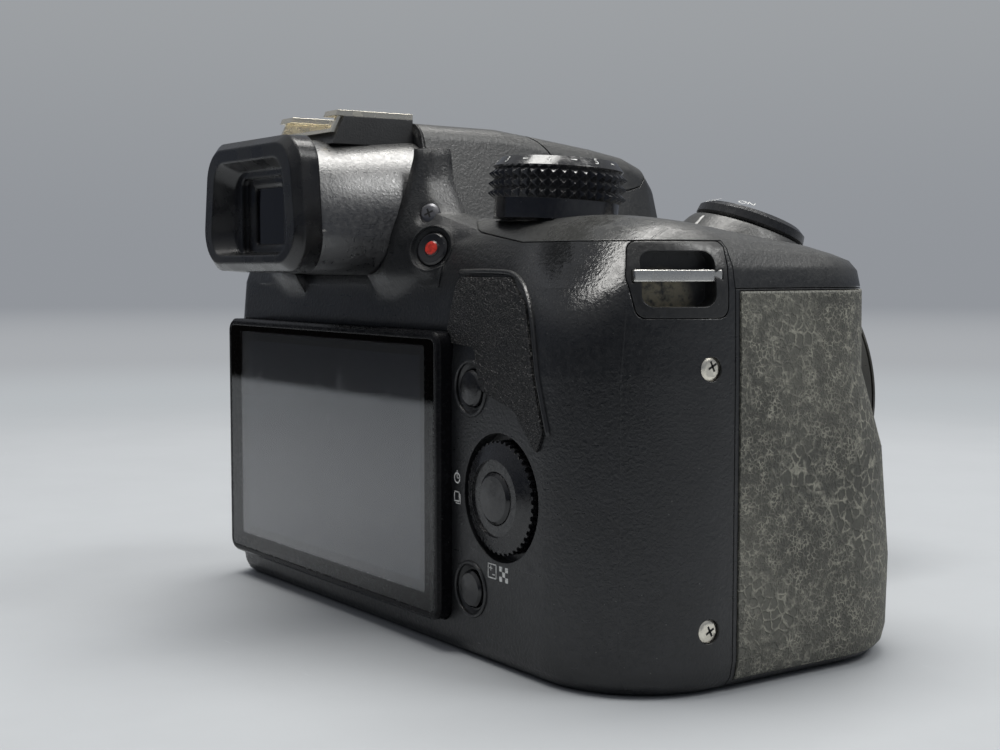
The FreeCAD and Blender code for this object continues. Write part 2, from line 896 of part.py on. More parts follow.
def make_soft_key(z):
    stem = rear_disc(key_x, z, key_r, key_floor_y + key_travel + 0.1, rear_y - 0.1)
    cap = turned(
        [(0, 0), (key_r, 0), (key_r - 0.4, 0.4), (0, 0.55)],
        Vector(key_x, rear_y - 0.1, z),
        y_axis,
    )
    return stem.fuse(cap)


def key_recess(z):
    """Dished ring round a key, with the key's own hole."""
    dish = turned(
        [(0, -0.7), (key_r + 0.5, -0.7), (key_ring_r, 0.0), (key_ring_r, 3.0), (0, 3.0)],
        Vector(key_x, rear_y, z),
        y_axis,
    )
    return dish.fuse(rear_disc(key_x, z, key_r + button_gap / 2, key_floor_y, 60))


# Slanted flank beside the viewfinder, with the movie button
movie_centre = Vector(-30.6, 28.4, 66.4)
movie_normal = Vector(-0.46, 0.84, 0.28)
movie_normal.normalize()
movie_r = 2.9
movie_ring_r = 4.3
movie_ring_height = 0.8
movie_travel = 0.5


def flank_form():
    """Wedge that carries the rear cover out to the side of the viewfinder housing."""
    # Height, rear edge at the housing, place of the outer edge
    levels = [(57.0, 28.6, -30.0, 28.2), (62.0, 31.6, -40.0, 26.4), (68.5, 30.6, -40.0, 24.4), (76.0, 27.6, -31.0, 23.2), (84.0, 25.0, -24.0, 22.4)]
    sections = []
    for height, rear, outer_x, outer_y in levels:
        corners = [
            (-14.0, outer_y - 4, 0.0),
            (-14.0, rear, 0.0),
            (-20.0, rear, 3.0),
            (outer_x, outer_y, 0.0),
            (outer_x, outer_y - 4, 0.0),
        ]
        sections.append(outline(corners, in_plan(height)))
    return Part.makeLoft(sections, True, True)


def movie_shape(profile):
    return turned(profile, movie_centre, movie_normal)


def movie_hole():
    return movie_shape([(0, -3.2), (movie_r + button_gap / 2, -3.2), (movie_r + button_gap / 2, 6), (0, 6)])


def make_movie_button():
    return movie_shape(
        [
            (0, -2.6),
            (movie_r, -2.6),
            (movie_r, 0.25),
            (movie_r - 0.4, 0.55),
            (1.35, 0.35),
            (1.15, 0.55),
            (0, 0.6),
        ]
    )


# Strap lugs in their pockets, one on each side
lug_right_origin = Vector(-80.7, 17.6, 0)
lug_right_turn_deg = 21.8
lug_left_origin = Vector(body_left_x, 17.6, 0)
lug_half = 7.6
lug_z = (56.0, 67.15)
lug_insert_thickness = 5.4
lug_pocket_half = 5.6
lug_pocket_z = (57.6, 65.7)
lug_pocket_depth = 4.4
lug_bar_z = 62.1
lug_bar_r = 1.0
lug_bar_half = 6.8
lug_bar_depth = 1.1


def lug_frame(side):
    """Origin, direction along the bar and outward normal of a lug pocket."""
    if side > 0:
        return lug_left_origin, y_axis, x_axis
    turn = math.radians(lug_right_turn_deg)
    along = Vector(math.sin(turn), math.cos(turn), 0)
    outward = Vector(-math.cos(turn), math.sin(turn), 0)
    return lug_right_origin, along, outward


def lug_prism(side, corners, depth):
    origin, along, outward = lug_frame(side)
    start = origin - outward * depth
    return prism(corners, lambda u, v: start + along * u + z_axis * v, outward * (depth + 6))


def lug_outline(gap):
    half = lug_half + gap
    return [
        (-half, lug_z[0] - gap, 1.6),
        (half - 1.4, lug_z[0] - gap, 1.6),
        (half, lug_z[0] + 6, 2.0),
        (half - 0.8, lug_z[1] + min(gap, 0.1), 1.6),
        (-half, lug_z[1] + min(gap, 0.1), 1.2),
    ]


def lug_seat(side):
    return lug_prism(side, lug_outline(seat_gap), lug_insert_thickness + seat_gap)


def lug_bar(side, gap=0.0):
    origin, along, outward = lug_frame(side)
    middle = origin + z_axis * lug_bar_z - outward * lug_bar_depth
    return rod(lug_bar_r + gap, middle - along * (lug_bar_half + gap), middle + along * (lug_bar_half + gap))


def make_lug_insert(side, form):
    pocket = lug_prism(side, rectangle(-lug_pocket_half, lug_pocket_half, *lug_pocket_z, 1.8), lug_pocket_depth)
    behind_seam = block(-100, 100, cover_seam_y + 2 * seam_gap, 60, 0, 100)
    insert = form.common(lug_prism(side, lug_outline(0.0), lug_insert_thickness)).common(behind_seam)
    return insert.cut([pocket, lug_bar(side, 0.02)])


# Grip rubber and thumb rest
rubber_rear_y = 8.0
rubber_thickness = 1.0
rubber_proud = 0.25
rubber_z = (1.6, 59.8)
rubber_inner_y = -10.0
pad_proud = 0.45
pad_depth = 0.9
thumb_pad = [
    (-40.0, 61.8, 1.4),
    (-54.6, 61.8, 1.6),
    (-59.6, 57.4, 2.0),
    (-65.2, 38.4, 1.5),
    (-63.6, 35.2, 0.6),
    (-57.6, 41.6, 4.0),
    (-48.6, 43.8, 3.0),
    (-46.4, 50.6, 2.0),
    (-37.6, 51.2, 1.2),
]


def rubber_region(gap):
    """Side and nose of the grip that the rubber wraps."""
    side = block(-95, grip_inner_x + 1.5 + gap, -60, rubber_rear_y + gap, rubber_z[0] - gap, rubber_z[1] + gap)
    behind_fingers = block(-62, 60, rubber_inner_y + gap, 60, -5, 80)
    return side.cut(behind_fingers)


def make_grip_rubber():
    levels = [body_levels[i] for i in range(1, 10)]
    outer = body_form(-rubber_proud, levels)
    inner = body_form(rubber_thickness - rubber_proud, levels)
    return outer.common(rubber_region(0.0)).cut(inner)


def make_thumb_rest():
    levels = [body_levels[i] for i in range(4, 11)]
    outer = body_form(-pad_proud, levels)
    inner = body_form(pad_depth, levels)
    region = prism(thumb_pad, in_rear_view(10), y_axis * 30)
    beside_screen = screen_plate(bezel_width + 0.6, bezel_height + 0.6, bezel_corner_r, 20, 60)
    return outer.common(region).cut([inner, beside_screen])


# Base plate with the tripod socket
tripod_r = 3.175
tripod_depth = 5.5
tripod_boss_r = 6.0
tripod_sleeve_r = 4.8
tripod_cap = 1.2
base_thickness = 2.0
base_margin = 2.1
tongue_margin = 1.6
base_level = (0.0, 2.9, 2.2, 4.0, 0.0)


def base_region(gap):
    """Opening in the covers that the base plate fills."""
    flat = [(base_z - 1.0,) + base_level[1:], (base_thickness + gap,) + base_level[1:]]
    tongue = foot_shape(tongue_margin - gap, base_z - 1.0, base_thickness + gap)
    return body_form(base_margin - gap, flat).fuse(tongue)


def make_tripod_socket():
    outer = Part.makeCylinder(tripod_boss_r, base_thickness)
    sleeve = Part.makeCylinder(tripod_sleeve_r, tripod_depth + tripod_cap)
    outer = outer.fuse(sleeve)
    return outer.cut(Part.makeCylinder(tripod_r, tripod_depth))


# Battery in the grip, with its box and its hinged door
battery_x = (-75.4, -56.9)
battery_y = (-19.0, 12.8)
battery_z = (3.4, 48.4)
battery_play = 0.2
battery_box_wall = 0.7
battery_door_x = (-76.8, -55.2)
battery_door_y = (-20.6, 14.4)
battery_door_thickness = 1.9
battery_door_r = 2.6
door_pin_r = 0.75
door_pin_x = -53.4
door_pin_z = 1.3
knuckle_r = 1.25
door_swing_gap = 0.65
knuckles_y = [(-15.0, -8.0), (3.0, 10.0)]
latch_x = (-75.4, -71.0)
latch_y = (-6.0, 3.0)
latch_thickness = 1.1
latch_travel = 2.0


def battery_shape(grow, low=0.0):
    x0, x1 = battery_x
    y0, y1 = battery_y
    z0, z1 = battery_z
    return prism(
        rectangle(x0 - grow, x1 + grow, y0 - grow, y1 + grow, 1.5 + grow), in_plan(z0 - low), z_axis * (z1 - z0 + grow + low)
    )


def make_battery_box():
    box = battery_shape(battery_play + battery_box_wall, battery_z[0] - base_thickness - seat_gap)
    tab = block(battery_x[1], chassis_x[0] + 0.5, chassis_y[0], chassis_y[1], 20, 40)
    return box.fuse(tab).cut(battery_shape(battery_play, 10))


def door_outline(gap):
    x0, x1 = battery_door_x
    y0, y1 = battery_door_y
    return rectangle(x0 - gap, x1 + gap, y0 - gap, y1 + gap, battery_door_r)


def make_battery_door():
    door = prism(door_outline(0.0), in_plan(base_z), z_axis * battery_door_thickness)
    for y0, y1 in knuckles_y:
        knuckle = rod(knuckle_r, Vector(door_pin_x, y0, door_pin_z), Vector(door_pin_x, y1, door_pin_z))
        link = block(battery_door_x[1] - 0.5, door_pin_x, y0, y1, 0.2, 1.6)
        door = door.fuse([knuckle, link])
    slot = block(latch_x[0] - 0.2, latch_x[1] + latch_travel + 0.2, latch_y[0] - 0.2, latch_y[1] + 0.2, -1, latch_thickness + 0.1)
    return door.cut([slot, door_pin(running_fit)])


def door_pin(gap):
    return rod(door_pin_r + gap, Vector(door_pin_x, -19.0 - gap, door_pin_z), Vector(door_pin_x, 13.0 + gap, door_pin_z))


def make_battery_latch():
    latch = block(*latch_x, *latch_y, base_z + 0.1, latch_thickness)
    grooves = []
    for i in range(4):
        x = latch_x[0] + 0.7 + i * 0.9
        grooves.append(block(x, x + 0.4, latch_y[0] + 1, latch_y[1] - 1, -1, base_z + 0.4))
    return latch.cut(grooves)


def make_base_plate():
    plate = base_region(0.0).cut(block(-100, 100, -100, 100, -5, base_z))
    rail = block(battery_door_x[1] + door_swing_gap, door_pin_x + 1.6, -20.0, 14.0, base_z, 3.2)
    plate = plate.fuse(rail)
    cuts = [prism(door_outline(button_gap), in_plan(-2), z_axis * 10), door_pin(0.0)]
    cuts.append(block(battery_door_x[1], battery_door_x[1] + door_swing_gap, *battery_door_y, -2, 8))
    cuts.append(Part.makeCylinder(tripod_boss_r, 10, Vector(0, 0, -1)))
    for y0, y1 in knuckles_y:
        cuts.append(block(battery_door_x[1], door_pin_x + knuckle_r + 0.3, y0 - 0.25, y1 + 0.25, -1, 5))
    return plate.cut(cuts + [cover_screw(at, z_axis * -1, screw_gap) for at in base_screw_places])


# Side door over the card and cable sockets
side_door_y = (10.9, 25.0)
side_door_z = (12.0, 46.0)
side_door_thickness = 1.8
side_hinge_x = body_left_x - side_door_thickness / 2
side_hinge_y = side_door_y[0] + side_door_thickness / 2
trunnion_r = 0.5
trunnion_reach = 1.0
card_y = (20.4, 22.5)
card_z = (20.2, 44.2)
card_x = (8.6, 40.6)
usb_y = (13.2, 16.2)
usb_z = (24.0, 31.8)
bay_depth = 2.6


def make_side_door():
    plate = block(body_left_x - side_door_thickness, body_left_x, side_hinge_y, side_door_y[1], *side_door_z)
    long_edges = [e for e in plate.Edges if e.BoundBox.XMin > body_left_x - 0.01 and e.BoundBox.YMin > side_hinge_y + 1]
    plate = plate.makeChamfer(0.3, long_edges)
    barrel = rod(side_door_thickness / 2, Vector(side_hinge_x, side_hinge_y, side_door_z[0]), Vector(side_hinge_x, side_hinge_y, side_door_z[1]))
    grip_notch = block(body_left_x - 0.7, body_left_x + 1, side_door_y[1] - 1.2, side_door_y[1] + 1, 25, 33)
    return plate.fuse([barrel, trunnions(0.0)]).cut(grip_notch)


def trunnions(gap):
    low = Vector(side_hinge_x, side_hinge_y, side_door_z[0] - trunnion_reach - gap)
    high = Vector(side_hinge_x, side_hinge_y, side_door_z[1] + trunnion_reach + gap)
    return rod(trunnion_r + gap, low, high)


def side_door_opening():
    opening = block(body_left_x - 5, body_left_x + 5, side_door_y[0] - 0.2, side_door_y[1] + 0.2, side_door_z[0] - 0.2, side_door_z[1] + 0.2)
    return opening.fuse(trunnions(running_fit))


def make_port_panel():
    back = body_left_x - wall - 0.1
    front = back - bay_depth
    tray = block(front - 1.4, back, side_door_y[0] - 1.2, side_door_y[1] + 0.4, side_door_z[0] - 1.5, side_door_z[1] + 1.5)
    bay = block(front, 60, side_door_y[0] + 0.2, side_door_y[1], side_door_z[0], side_door_z[1])
    card_slot = block(0, 60, card_y[0] - 0.25, card_y[1] + 0.25, card_z[0] - 0.25, card_z[1] + 0.25)
    usb_hole = block(0, 60, usb_y[0] - 0.1, usb_y[1] + 0.1, usb_z[0] - 0.1, usb_z[1] + 0.1)
    return tray.cut([bay, card_slot, usb_hole])


def make_memory_card():
    card = block(*card_x, *card_y, *card_z)
    corner = polygon_prism(
        [(card_x[0], card_z[1]), (card_x[0] + 4, card_z[1]), (card_x[0], card_z[1] - 4)], in_rear_view(card_y[0] - 1), y_axis * 5
    )
    return card.cut(corner)


def make_usb_socket():
    shell = block(33.0, body_left_x - wall - bay_depth - 0.3, *usb_y, *usb_z)
    mouth = block(35.0, 60, usb_y[0] + 0.4, usb_y[1] - 0.4, usb_z[0] + 0.4, usb_z[1] - 0.4)
    tongue = block(34.0, 38.8, usb_y[0] + 1.2, usb_y[0] + 1.9, usb_z[0] + 1.4, usb_z[1] - 1.4)
    return shell.cut(mouth).fuse(tongue)


# Frame, sensor, shutter and board inside the body
chassis_x = (-44.0, 39.0)
chassis_y = (4.9, 6.1)
chassis_z = (2.3, 60.0)
chassis_foot_front_y = -3.5
sensor_half = (14.5, 10.5)
sensor_plate_half = (21.0, 17.0)
shutter_x = (-30.0, 20.6)
shutter_z = (15.0, 56.0)
shutter_y = (-8.9, -4.9)
board_y = (8.2, 9.4)
board_x = (-42.0, 37.0)
board_z = (6.0, 57.0)


def make_chassis():
    plate = block(*chassis_x, *chassis_y, *chassis_z)
    flange = block(-20, 22, chassis_foot_front_y, chassis_y[1], chassis_z[0], chassis_z[0] + 1.2)
    cheek = block(chassis_x[0], chassis_x[0] + 1.2, -2.0, chassis_y[1], 8, 50)
    holes = [block(-12, 12, 0, 20, lens_axis_z - 8, lens_axis_z + 8)]
    holes.append(Part.makeCylinder(tripod_sleeve_r + seat_gap, 20))
    for x in (-36, 32):
        for z in (12, 50):
            holes.append(rod(2.0, Vector(x, 0, z), Vector(x, 20, z)))
    return plate.fuse([flange, cheek, make_battery_box()]).cut(holes)


def make_sensor_unit():
    u, v = sensor_half
    package = block(-u, u, sensor_face_y, 3.3, lens_axis_z - v, lens_axis_z + v)
    window = block(-u + 2.2, u - 2.2, sensor_face_y - 1, sensor_face_y + 0.5, lens_axis_z - v + 2, lens_axis_z + v - 2)
    u, v = sensor_plate_half
    plate = block(-u, u, 3.3, chassis_y[0] - 0.05, lens_axis_z - v, lens_axis_z + v)
    return package.fuse(plate).cut(window)


def make_shutter_unit():
    body = block(*shutter_x, *shutter_y, *shutter_z)
    gate = block(-13, 13, -20, 0, lens_axis_z - 9, lens_axis_z + 9)
    blades = block(-17, 17, -6.9, -6.7, lens_axis_z - 13, lens_axis_z + 13)
    return body.cut(gate).fuse(blades)


def make_main_board():
    board = block(*board_x, *board_y, *board_z)
    parts = [board]
    for x, z in ((-36, 12), (32, 12), (-36, 50), (32, 50)):
        parts.append(rod(2.6, Vector(x, chassis_y[1] + 0.05, z), Vector(x, board_y[0], z)))
    chips = [(-30, 20, 14), (-8, 24, 18), (16, 18, 12), (10, 44, 8), (-24, 42, 9)]
    for x, z, size in chips:
        parts.append(block(x, x + size, board_y[1], board_y[1] + 1.2, z, z + size))
    return parts[0].fuse(parts[1:])


# Lens mount on the boss
mount_ring_r = 29.2
mount_claw_r = 21.95
mount_claw_deg = 50
mount_screw_circle_r = 26.2
mount_screw_head_r = 1.9
mount_screw_shank_r = 0.85
mount_pin_at = (23.6, 24.5)
mount_pin_r = 1.1
release_at = (39.0, 22.0)
release_r = 4.6
release_front_y = -5.4
release_travel = 1.8
lever_y = (0.4, 1.6)
lamp_window_at = (-34.6, 53.0)
lamp_window_r = 2.8
cheek_screw_gap = 0.03


def about_lens(radius, y0, y1):
    return rod(radius, Vector(0, y0, lens_axis_z), Vector(0, y1, lens_axis_z))


def lens_tube(outer_r, inner_r, y0, y1):
    return about_lens(outer_r, y0, y1).cut(about_lens(inner_r, y0 - 1, y1 + 1))


def lens_sector(outer_r, y0, y1, middle_deg, width_deg):
    """Slice of a disc about the lens axis, its middle at an angle from the left side."""
    solid = Part.makeCylinder(outer_r, abs(y1 - y0), Vector(0, 0, 0), z_axis, width_deg)
    solid.rotate(Vector(0, 0, 0), z_axis, middle_deg - width_deg / 2)
    solid.Placement = Placement(Vector(0, min(y0, y1), lens_axis_z), Rotation(x_axis, -90)).multiply(solid.Placement)
    return solid


def mount_screw(angle_deg, gap=0.0):
    angle = math.radians(angle_deg)
    x = mount_screw_circle_r * math.cos(angle)
    z = lens_axis_z + mount_screw_circle_r * math.sin(angle)
    profile = [
        (0, -gap),
        (mount_screw_shank_r + gap, -gap),
        (mount_screw_shank_r + gap, 3.0),
        (mount_screw_head_r + gap, 3.9),
        (mount_screw_head_r + gap, 4.0 + gap * 10),
        (0, 4.0 + gap * 10),
    ]
    return turned(profile, Vector(x, flange_y + 4.05, z), y_axis * -1)


mount_screw_angles = [45, 135, 225, 315]


def make_mount_ring():
    ring = lens_tube(mount_ring_r, throat_r, flange_y, boss_front_y)
    for middle in (90, 210, 330):
        claw = lens_sector(throat_r + 0.5, flange_y, flange_y + 1.0, middle, mount_claw_deg)
        ring = ring.fuse(claw.cut(about_lens(mount_claw_r, -40, 0)))
    pin_hole = rod(mount_pin_r + 0.1, Vector(mount_pin_at[0], -40, mount_pin_at[1]), Vector(mount_pin_at[0], 0, mount_pin_at[1]))
    return ring.cut([pin_hole] + [mount_screw(a, 0.03) for a in mount_screw_angles])


def make_body_contacts():
    arc = lens_sector(throat_wall_r - 0.1, -14.0, -10.0, -90, 56)
    return arc.cut(about_lens(20.2, -40, 10))


def make_locking_pin():
    x, z = mount_pin_at
    return rod(mount_pin_r, Vector(x, flange_y - 1.4, z), Vector(x, lever_y[0], z))


def release_shape(gap, front):
    x, z = release_at
    return rod(release_r + gap, Vector(x, front, z), Vector(x, lever_y[1] + gap * 4, z))


def make_release_button():
    x, z = release_at
    button = release_shape(0.0, release_front_y)
    rim = [e for e in button.Edges if e.BoundBox.YMax < release_front_y + 0.01]
    button = button.makeFillet(0.8, rim)
    px, pz = mount_pin_at
    lever = block(px - 1.6, x, lever_y[0], lever_y[1], pz - 3.0, pz + 1.2)
    return button.fuse(lever)


def release_space():
    x, z = release_at
    px, pz = mount_pin_at
    rear = lever_y[1] + release_travel + 0.5
    lever_room = block(px - 2.2, x + 1, lever_y[0] - 0.3, rear, pz - 3.6, pz + 1.8)
    pin_room = rod(mount_pin_r + 0.1, Vector(px, -40, pz), Vector(px, 0, pz))
    button_room = rod(release_r + button_gap / 2, Vector(x, -20, z), Vector(x, rear, z))
    return lever_room.fuse([pin_room, button_room])


def make_af_lamp_window():
    x, z = lamp_window_at
    return rod(lamp_window_r, Vector(x, body_front_y + 0.1, z), Vector(x, body_front_y + 1.5, z))


# Screws in the covers
screw_head_r = 1.8
screw_shank_r = 0.85
screw_gap = 0.03
side_screw_y = 13.5
side_screw_z = (48.5, 9.7)
left_screw_y = 4.0
left_screw_z = (52.0, 9.7)
base_screw_places = [
    Vector(36, 20, 0.4),
    Vector(34.5, 8.3, 0.4),
    Vector(-20, 21, 0.4),
    Vector(-66, 20.5, 0.4),
    Vector(-60, -26.0, 0.4),
]


def cover_screw(at, outward, gap=0.0):
    """Cross-head screw with its head's face at a point and its shank behind it."""
    profile = [
        (0, -3.6 - gap),
        (screw_shank_r + gap, -3.6 - gap),
        (screw_shank_r + gap, -1.0 - gap),
        (screw_head_r + gap, -1.0 - gap),
        (screw_head_r + gap, -0.25 if gap == 0 else 3.0),
        (screw_head_r - 0.5 + gap, 0.0 if gap == 0 else 3.0),
        (0, 0.0 if gap == 0 else 3.0),
    ]
    if gap > 0:
        profile = profile[:4] + [(screw_head_r + gap, 3.0), (0, 3.0)]
    return turned(profile, at, outward)


flank_screw_at = Vector(-26.4, 26.6, 72.6)
rear_screws = [(Vector(body_right_x + 0.3, side_screw_y, z), x_axis * -1) for z in side_screw_z]
rear_screws.append((flank_screw_at, movie_normal))
front_screws = [(Vector(body_left_x - 0.3, left_screw_y, z), x_axis) for z in left_screw_z]
base_screws = [(at, z_axis * -1) for at in base_screw_places]


def make_cover_screws():
    return Part.makeCompound([cover_screw(at, out) for at, out in rear_screws + front_screws + base_screws])


# Zoom lens
lens_front_y = flange_y - 61.0
lens_r = 31.0
zoom_throw_deg = 66.0
zoom_extension = 14.0
lens_flange_r = 28.4
lens_tail_r = 21.75
lens_tail_y = -15.4
lens_claw_r = 22.9
barrel_rear_y = flange_y - 3.0
barrel_front_y = flange_y - 12.0
barrel_core_r = 28.2
barrel_bore_r = 26.9
barrel_core_front_y = flange_y - 35.4
zoom_ring_y = (flange_y - 12.3, flange_y - 35.6)
zoom_rib_count = 54
slider_r = 26.6
slider_bore_r = 24.9
slider_rear_y = flange_y - 16.0
head_rear_y = flange_y - 36.2
focus_ring_y = (flange_y - 39.0, flange_y - 49.0)
focus_ring_r = 30.2
focus_core_r = 27.6
focus_rib_count = 72
filter_thread_r = 24.5
filter_depth = 4.0
shelf_thickness = 1.4
element_r = 20.5
element_bulge = 0.9
element_setback = 1.0


def make_lens_mount():
    flange = lens_tube(lens_flange_r, lens_tail_r - 1.4, barrel_rear_y, flange_y)
    tail = lens_tube(lens_tail_r, lens_tail_r - 1.4, flange_y, lens_tail_y)
    mount = flange.fuse(tail)
    for middle in (30, 150, 270):
        claw = lens_sector(lens_claw_r, flange_y + 1.25, flange_y + 2.6, middle, mount_claw_deg)
        mount = mount.fuse(claw.cut(about_lens(lens_tail_r - 1, -40, 10)))
    x, z = mount_pin_at
    hole = rod(mount_pin_r + 0.2, Vector(x, -22.7, z), Vector(x, -10, z))
    return mount.cut(hole)


def make_lens_barrel():
    shell = lens_tube(lens_r, barrel_bore_r, barrel_front_y, barrel_rear_y)
    rear_edge = [e for e in shell.Edges if abs(e.BoundBox.YMin - barrel_rear_y) < 0.01 and e.BoundBox.XMax > lens_r - 1]
    shell = shell.makeChamfer(1.2, rear_edge)
    back_plate = lens_tube(barrel_bore_r + 0.5, lens_tail_r - 1.4, barrel_rear_y - 1.4, barrel_rear_y)
    core = lens_tube(barrel_core_r, barrel_bore_r, barrel_core_front_y, barrel_front_y)
    return shell.fuse([back_plate, core])


def ribbed_ring(count, outer_r, bore_r, groove_depth, y0, y1):
    place = lambda u, v: Vector(u, y0, lens_axis_z + v)
    ring = polygon_prism(ribbed_points(count, outer_r, groove_depth, 0.4), place, y_axis * (y1 - y0))
    return ring.cut(about_lens(bore_r, min(y0, y1) - 1, max(y0, y1) + 1))


def make_zoom_ring():
    y0, y1 = zoom_ring_y
    edge = 2.2
    bore = barrel_core_r + running_fit
    ribs = ribbed_ring(zoom_rib_count, lens_r, bore, 0.7, y0 - edge, y1 + edge)
    bands = [lens_tube(lens_r - 0.1, bore, y0 - edge, y0), lens_tube(lens_r - 0.1, bore, y1, y1 + edge)]
    return ribs.fuse(bands)


def make_inner_barrel():
    slider = lens_tube(slider_r, slider_bore_r, head_rear_y, slider_rear_y)
    collar = lens_tube(lens_r - 0.6, slider_bore_r, focus_ring_y[0] + 0.3, head_rear_y)
    core = lens_tube(focus_core_r, slider_bore_r, focus_ring_y[1] - 0.3, focus_ring_y[0] + 0.4)
    nose = turned(
        [
            (slider_bore_r, 0.0),
            (lens_r - 1.0, 0.0),
            (lens_r, 1.2),
            (lens_r, 9.6),
            (lens_r - 0.8, 10.4),
            (slider_bore_r, 10.4),
        ],
        Vector(0, focus_ring_y[1] - 0.3, lens_axis_z),
        y_axis * -1,
    )
    return slider.fuse([collar, core, nose])


def make_front_ring():
    rear = focus_ring_y[1] - 10.7
    depth = rear - lens_front_y
    return turned(
        [
            (filter_thread_r, -filter_depth + depth),
            (filter_thread_r, depth),
            (lens_r - 1.6, depth),
            (lens_r - 0.2, depth - 0.8),
            (lens_r - 0.2, 0.0),
            (slider_bore_r - 0.05, 0.0),
            (slider_bore_r - 0.05, -filter_depth + depth - shelf_thickness),
            (element_r + 0.1, -filter_depth + depth - shelf_thickness),
            (element_r + 0.1, -filter_depth + depth),
        ],
        Vector(0, rear, lens_axis_z),
        y_axis * -1,
    )


def make_focus_ring():
    y0, y1 = focus_ring_y
    return ribbed_ring(focus_rib_count, focus_ring_r, focus_core_r + running_fit, 0.45, y0, y1)


def lens_element(radius, edge_y, thickness, bulge):
    """Round glass with a domed front, its edge cylinder behind the dome."""
    dome_r = (radius**2 + bulge**2) / (2 * bulge)
    dome = Part.makeSphere(dome_r, Vector(0, edge_y - bulge + dome_r, lens_axis_z))
    edge = about_lens(radius, edge_y, edge_y + thickness)
    cap = dome.common(about_lens(radius, edge_y - bulge - 0.1, edge_y))
    return edge.fuse(cap)


def make_front_element():
    return lens_element(element_r, lens_front_y + filter_depth + element_setback, 4.0, element_bulge)


def make_rear_element():
    return lens_element(11.0, barrel_rear_y + 1.0, 2.5, 1.2).fuse(
        lens_tube(lens_tail_r - 1.5, 10.9, barrel_rear_y + 1.2, barrel_rear_y + 3.2)
    )


# Covers cut from the whole form
def make_covers(form):
    room = chamber()
    base_opening = base_region(seat_gap)
    rear_of_seam = block(-100, 100, cover_seam_y + seam_gap / 2, 100, -5, 120)
    front_of_seam = block(-100, 100, -100, cover_seam_y - seam_gap / 2, -5, 120)
    upper = form.common(top_region(0.0))
    lower = form.cut(top_region(seam_gap))
    housing_space = tapered_form(
        [(housing_front_y - 0.1, 22.0, 20.0, 61.6, 86.9)] + housing_levels[1:], housing_corner_r, -0.05
    )
    finder_space = block(-14.2, 14.2, 18.0, 40, 64.0, 82.5)

    top = upper.fuse(make_collar())
    hump_room = block(-11.4, 11.4, 11.5, 21.0, 60, 84)
    under_top = body_form(wall, chamber_levels).common(block(-100, 100, -60, 100, 50, chamber_top_z))
    top = top.cut(
        [
            under_top,
            block(-64, 30, 3, 21, 60, 66.5),
            hump_room,
            flash_region(0.25),
            flash_well(),
            flash_pin(0.0),
            dial_hole(),
            collar_hole(),
            top_button_hole(finder_button_at),
            flash_button_shape(button_gap / 2, 30.0, flash_button_travel),
        ]
    )

    rear = lower.common(rear_of_seam)
    flank = flank_form()
    flank = flank.fuse(flank.mirror(Vector(0, 0, 0), x_axis)).cut(top_region(seam_gap))
    key_block = block(-64.0, -40.6, 25.6, 29.0, 5.0, 50.0)
    movie_boss = movie_shape([(0, -5.0), (movie_ring_r + 0.6, -5.0), (movie_ring_r, 0.0), (movie_ring_r - 0.3, movie_ring_height), (0, movie_ring_height)])
    rear = rear.cut(room).fuse([flank, key_block, movie_boss.cut(top_region(seam_gap))])
    cuts = [
        base_opening,
        housing_space,
        finder_space,
        screen_plate(bezel_width + 2 * seat_gap, bezel_height + 2 * seat_gap, bezel_corner_r, bezel_back_y, 60),
        screen_plate(panel_width + 2 * seat_gap, panel_height + 2 * seat_gap, 0.6, 20, 60, panel_z),
        rear_disc(wheel_x, wheel_z, wheel_seat_r, wheel_seat_y, 60),
        rear_disc(wheel_x, wheel_z, 2.0, 20, 60),
        key_recess(upper_key_z),
        key_recess(lower_key_z),
        movie_hole(),
        movie_shape([(0, 0.15), (movie_r + 0.9, 0.15), (movie_r + 1.0, 4.0), (0, 4.0)]),
        pad_seat(),
        dial_hole(),
        side_door_opening(),
        lug_seat(-1),
        lug_seat(1),
    ]
    rear = rear.cut(cuts + [cover_screw(at, out, screw_gap) for at, out in rear_screws])

    front = lower.common(front_of_seam).cut(room)
    x, z = lamp_window_at
    cuts = [
        base_opening,
        rubber_seat(),
        about_lens(throat_wall_r, -30, 0),
        Part.makeCylinder(tripod_sleeve_r + seat_gap, tripod_depth + tripod_cap + seat_gap),
        block(shutter_x[0] - 0.2, shutter_x[1] + 0.2, shutter_y[0] - 0.1, 0, shutter_z[0] - 0.2, shutter_z[1] + 0.2),
        release_space(),
        rod(lamp_window_r, Vector(x, -20, z), Vector(x, body_front_y + 1.5, z)),
        rod(lamp_window_r - 0.8, Vector(x, -20, z), Vector(x, 0, z)),
    ]
    cuts += [mount_screw(angle, 0.03) for angle in mount_screw_angles]
    front = front.cut(cuts + [cover_screw(at, out, screw_gap) for at, out in front_screws])
    return top, rear, front


def flash_button_shape(gap, outer_x, travel=0.0):
    inner = Vector(flash_button_x[0] - gap - travel, flash_button_y, flash_button_z)
    return rod(flash_button_r + gap, inner, Vector(outer_x, flash_button_y, flash_button_z))


def rubber_seat():
    skin = body_form(-1.0, body_levels[0:11]).common(rubber_region(seat_gap))
    return skin.cut(body_form(rubber_thickness - rubber_proud, body_levels[0:11]))


def pad_seat():
    skin = body_form(-1.5, body_levels[4:11]).common(prism(thumb_pad, in_rear_view(10), y_axis * 30))
    return skin.cut(body_form(pad_depth, body_levels[4:11]))


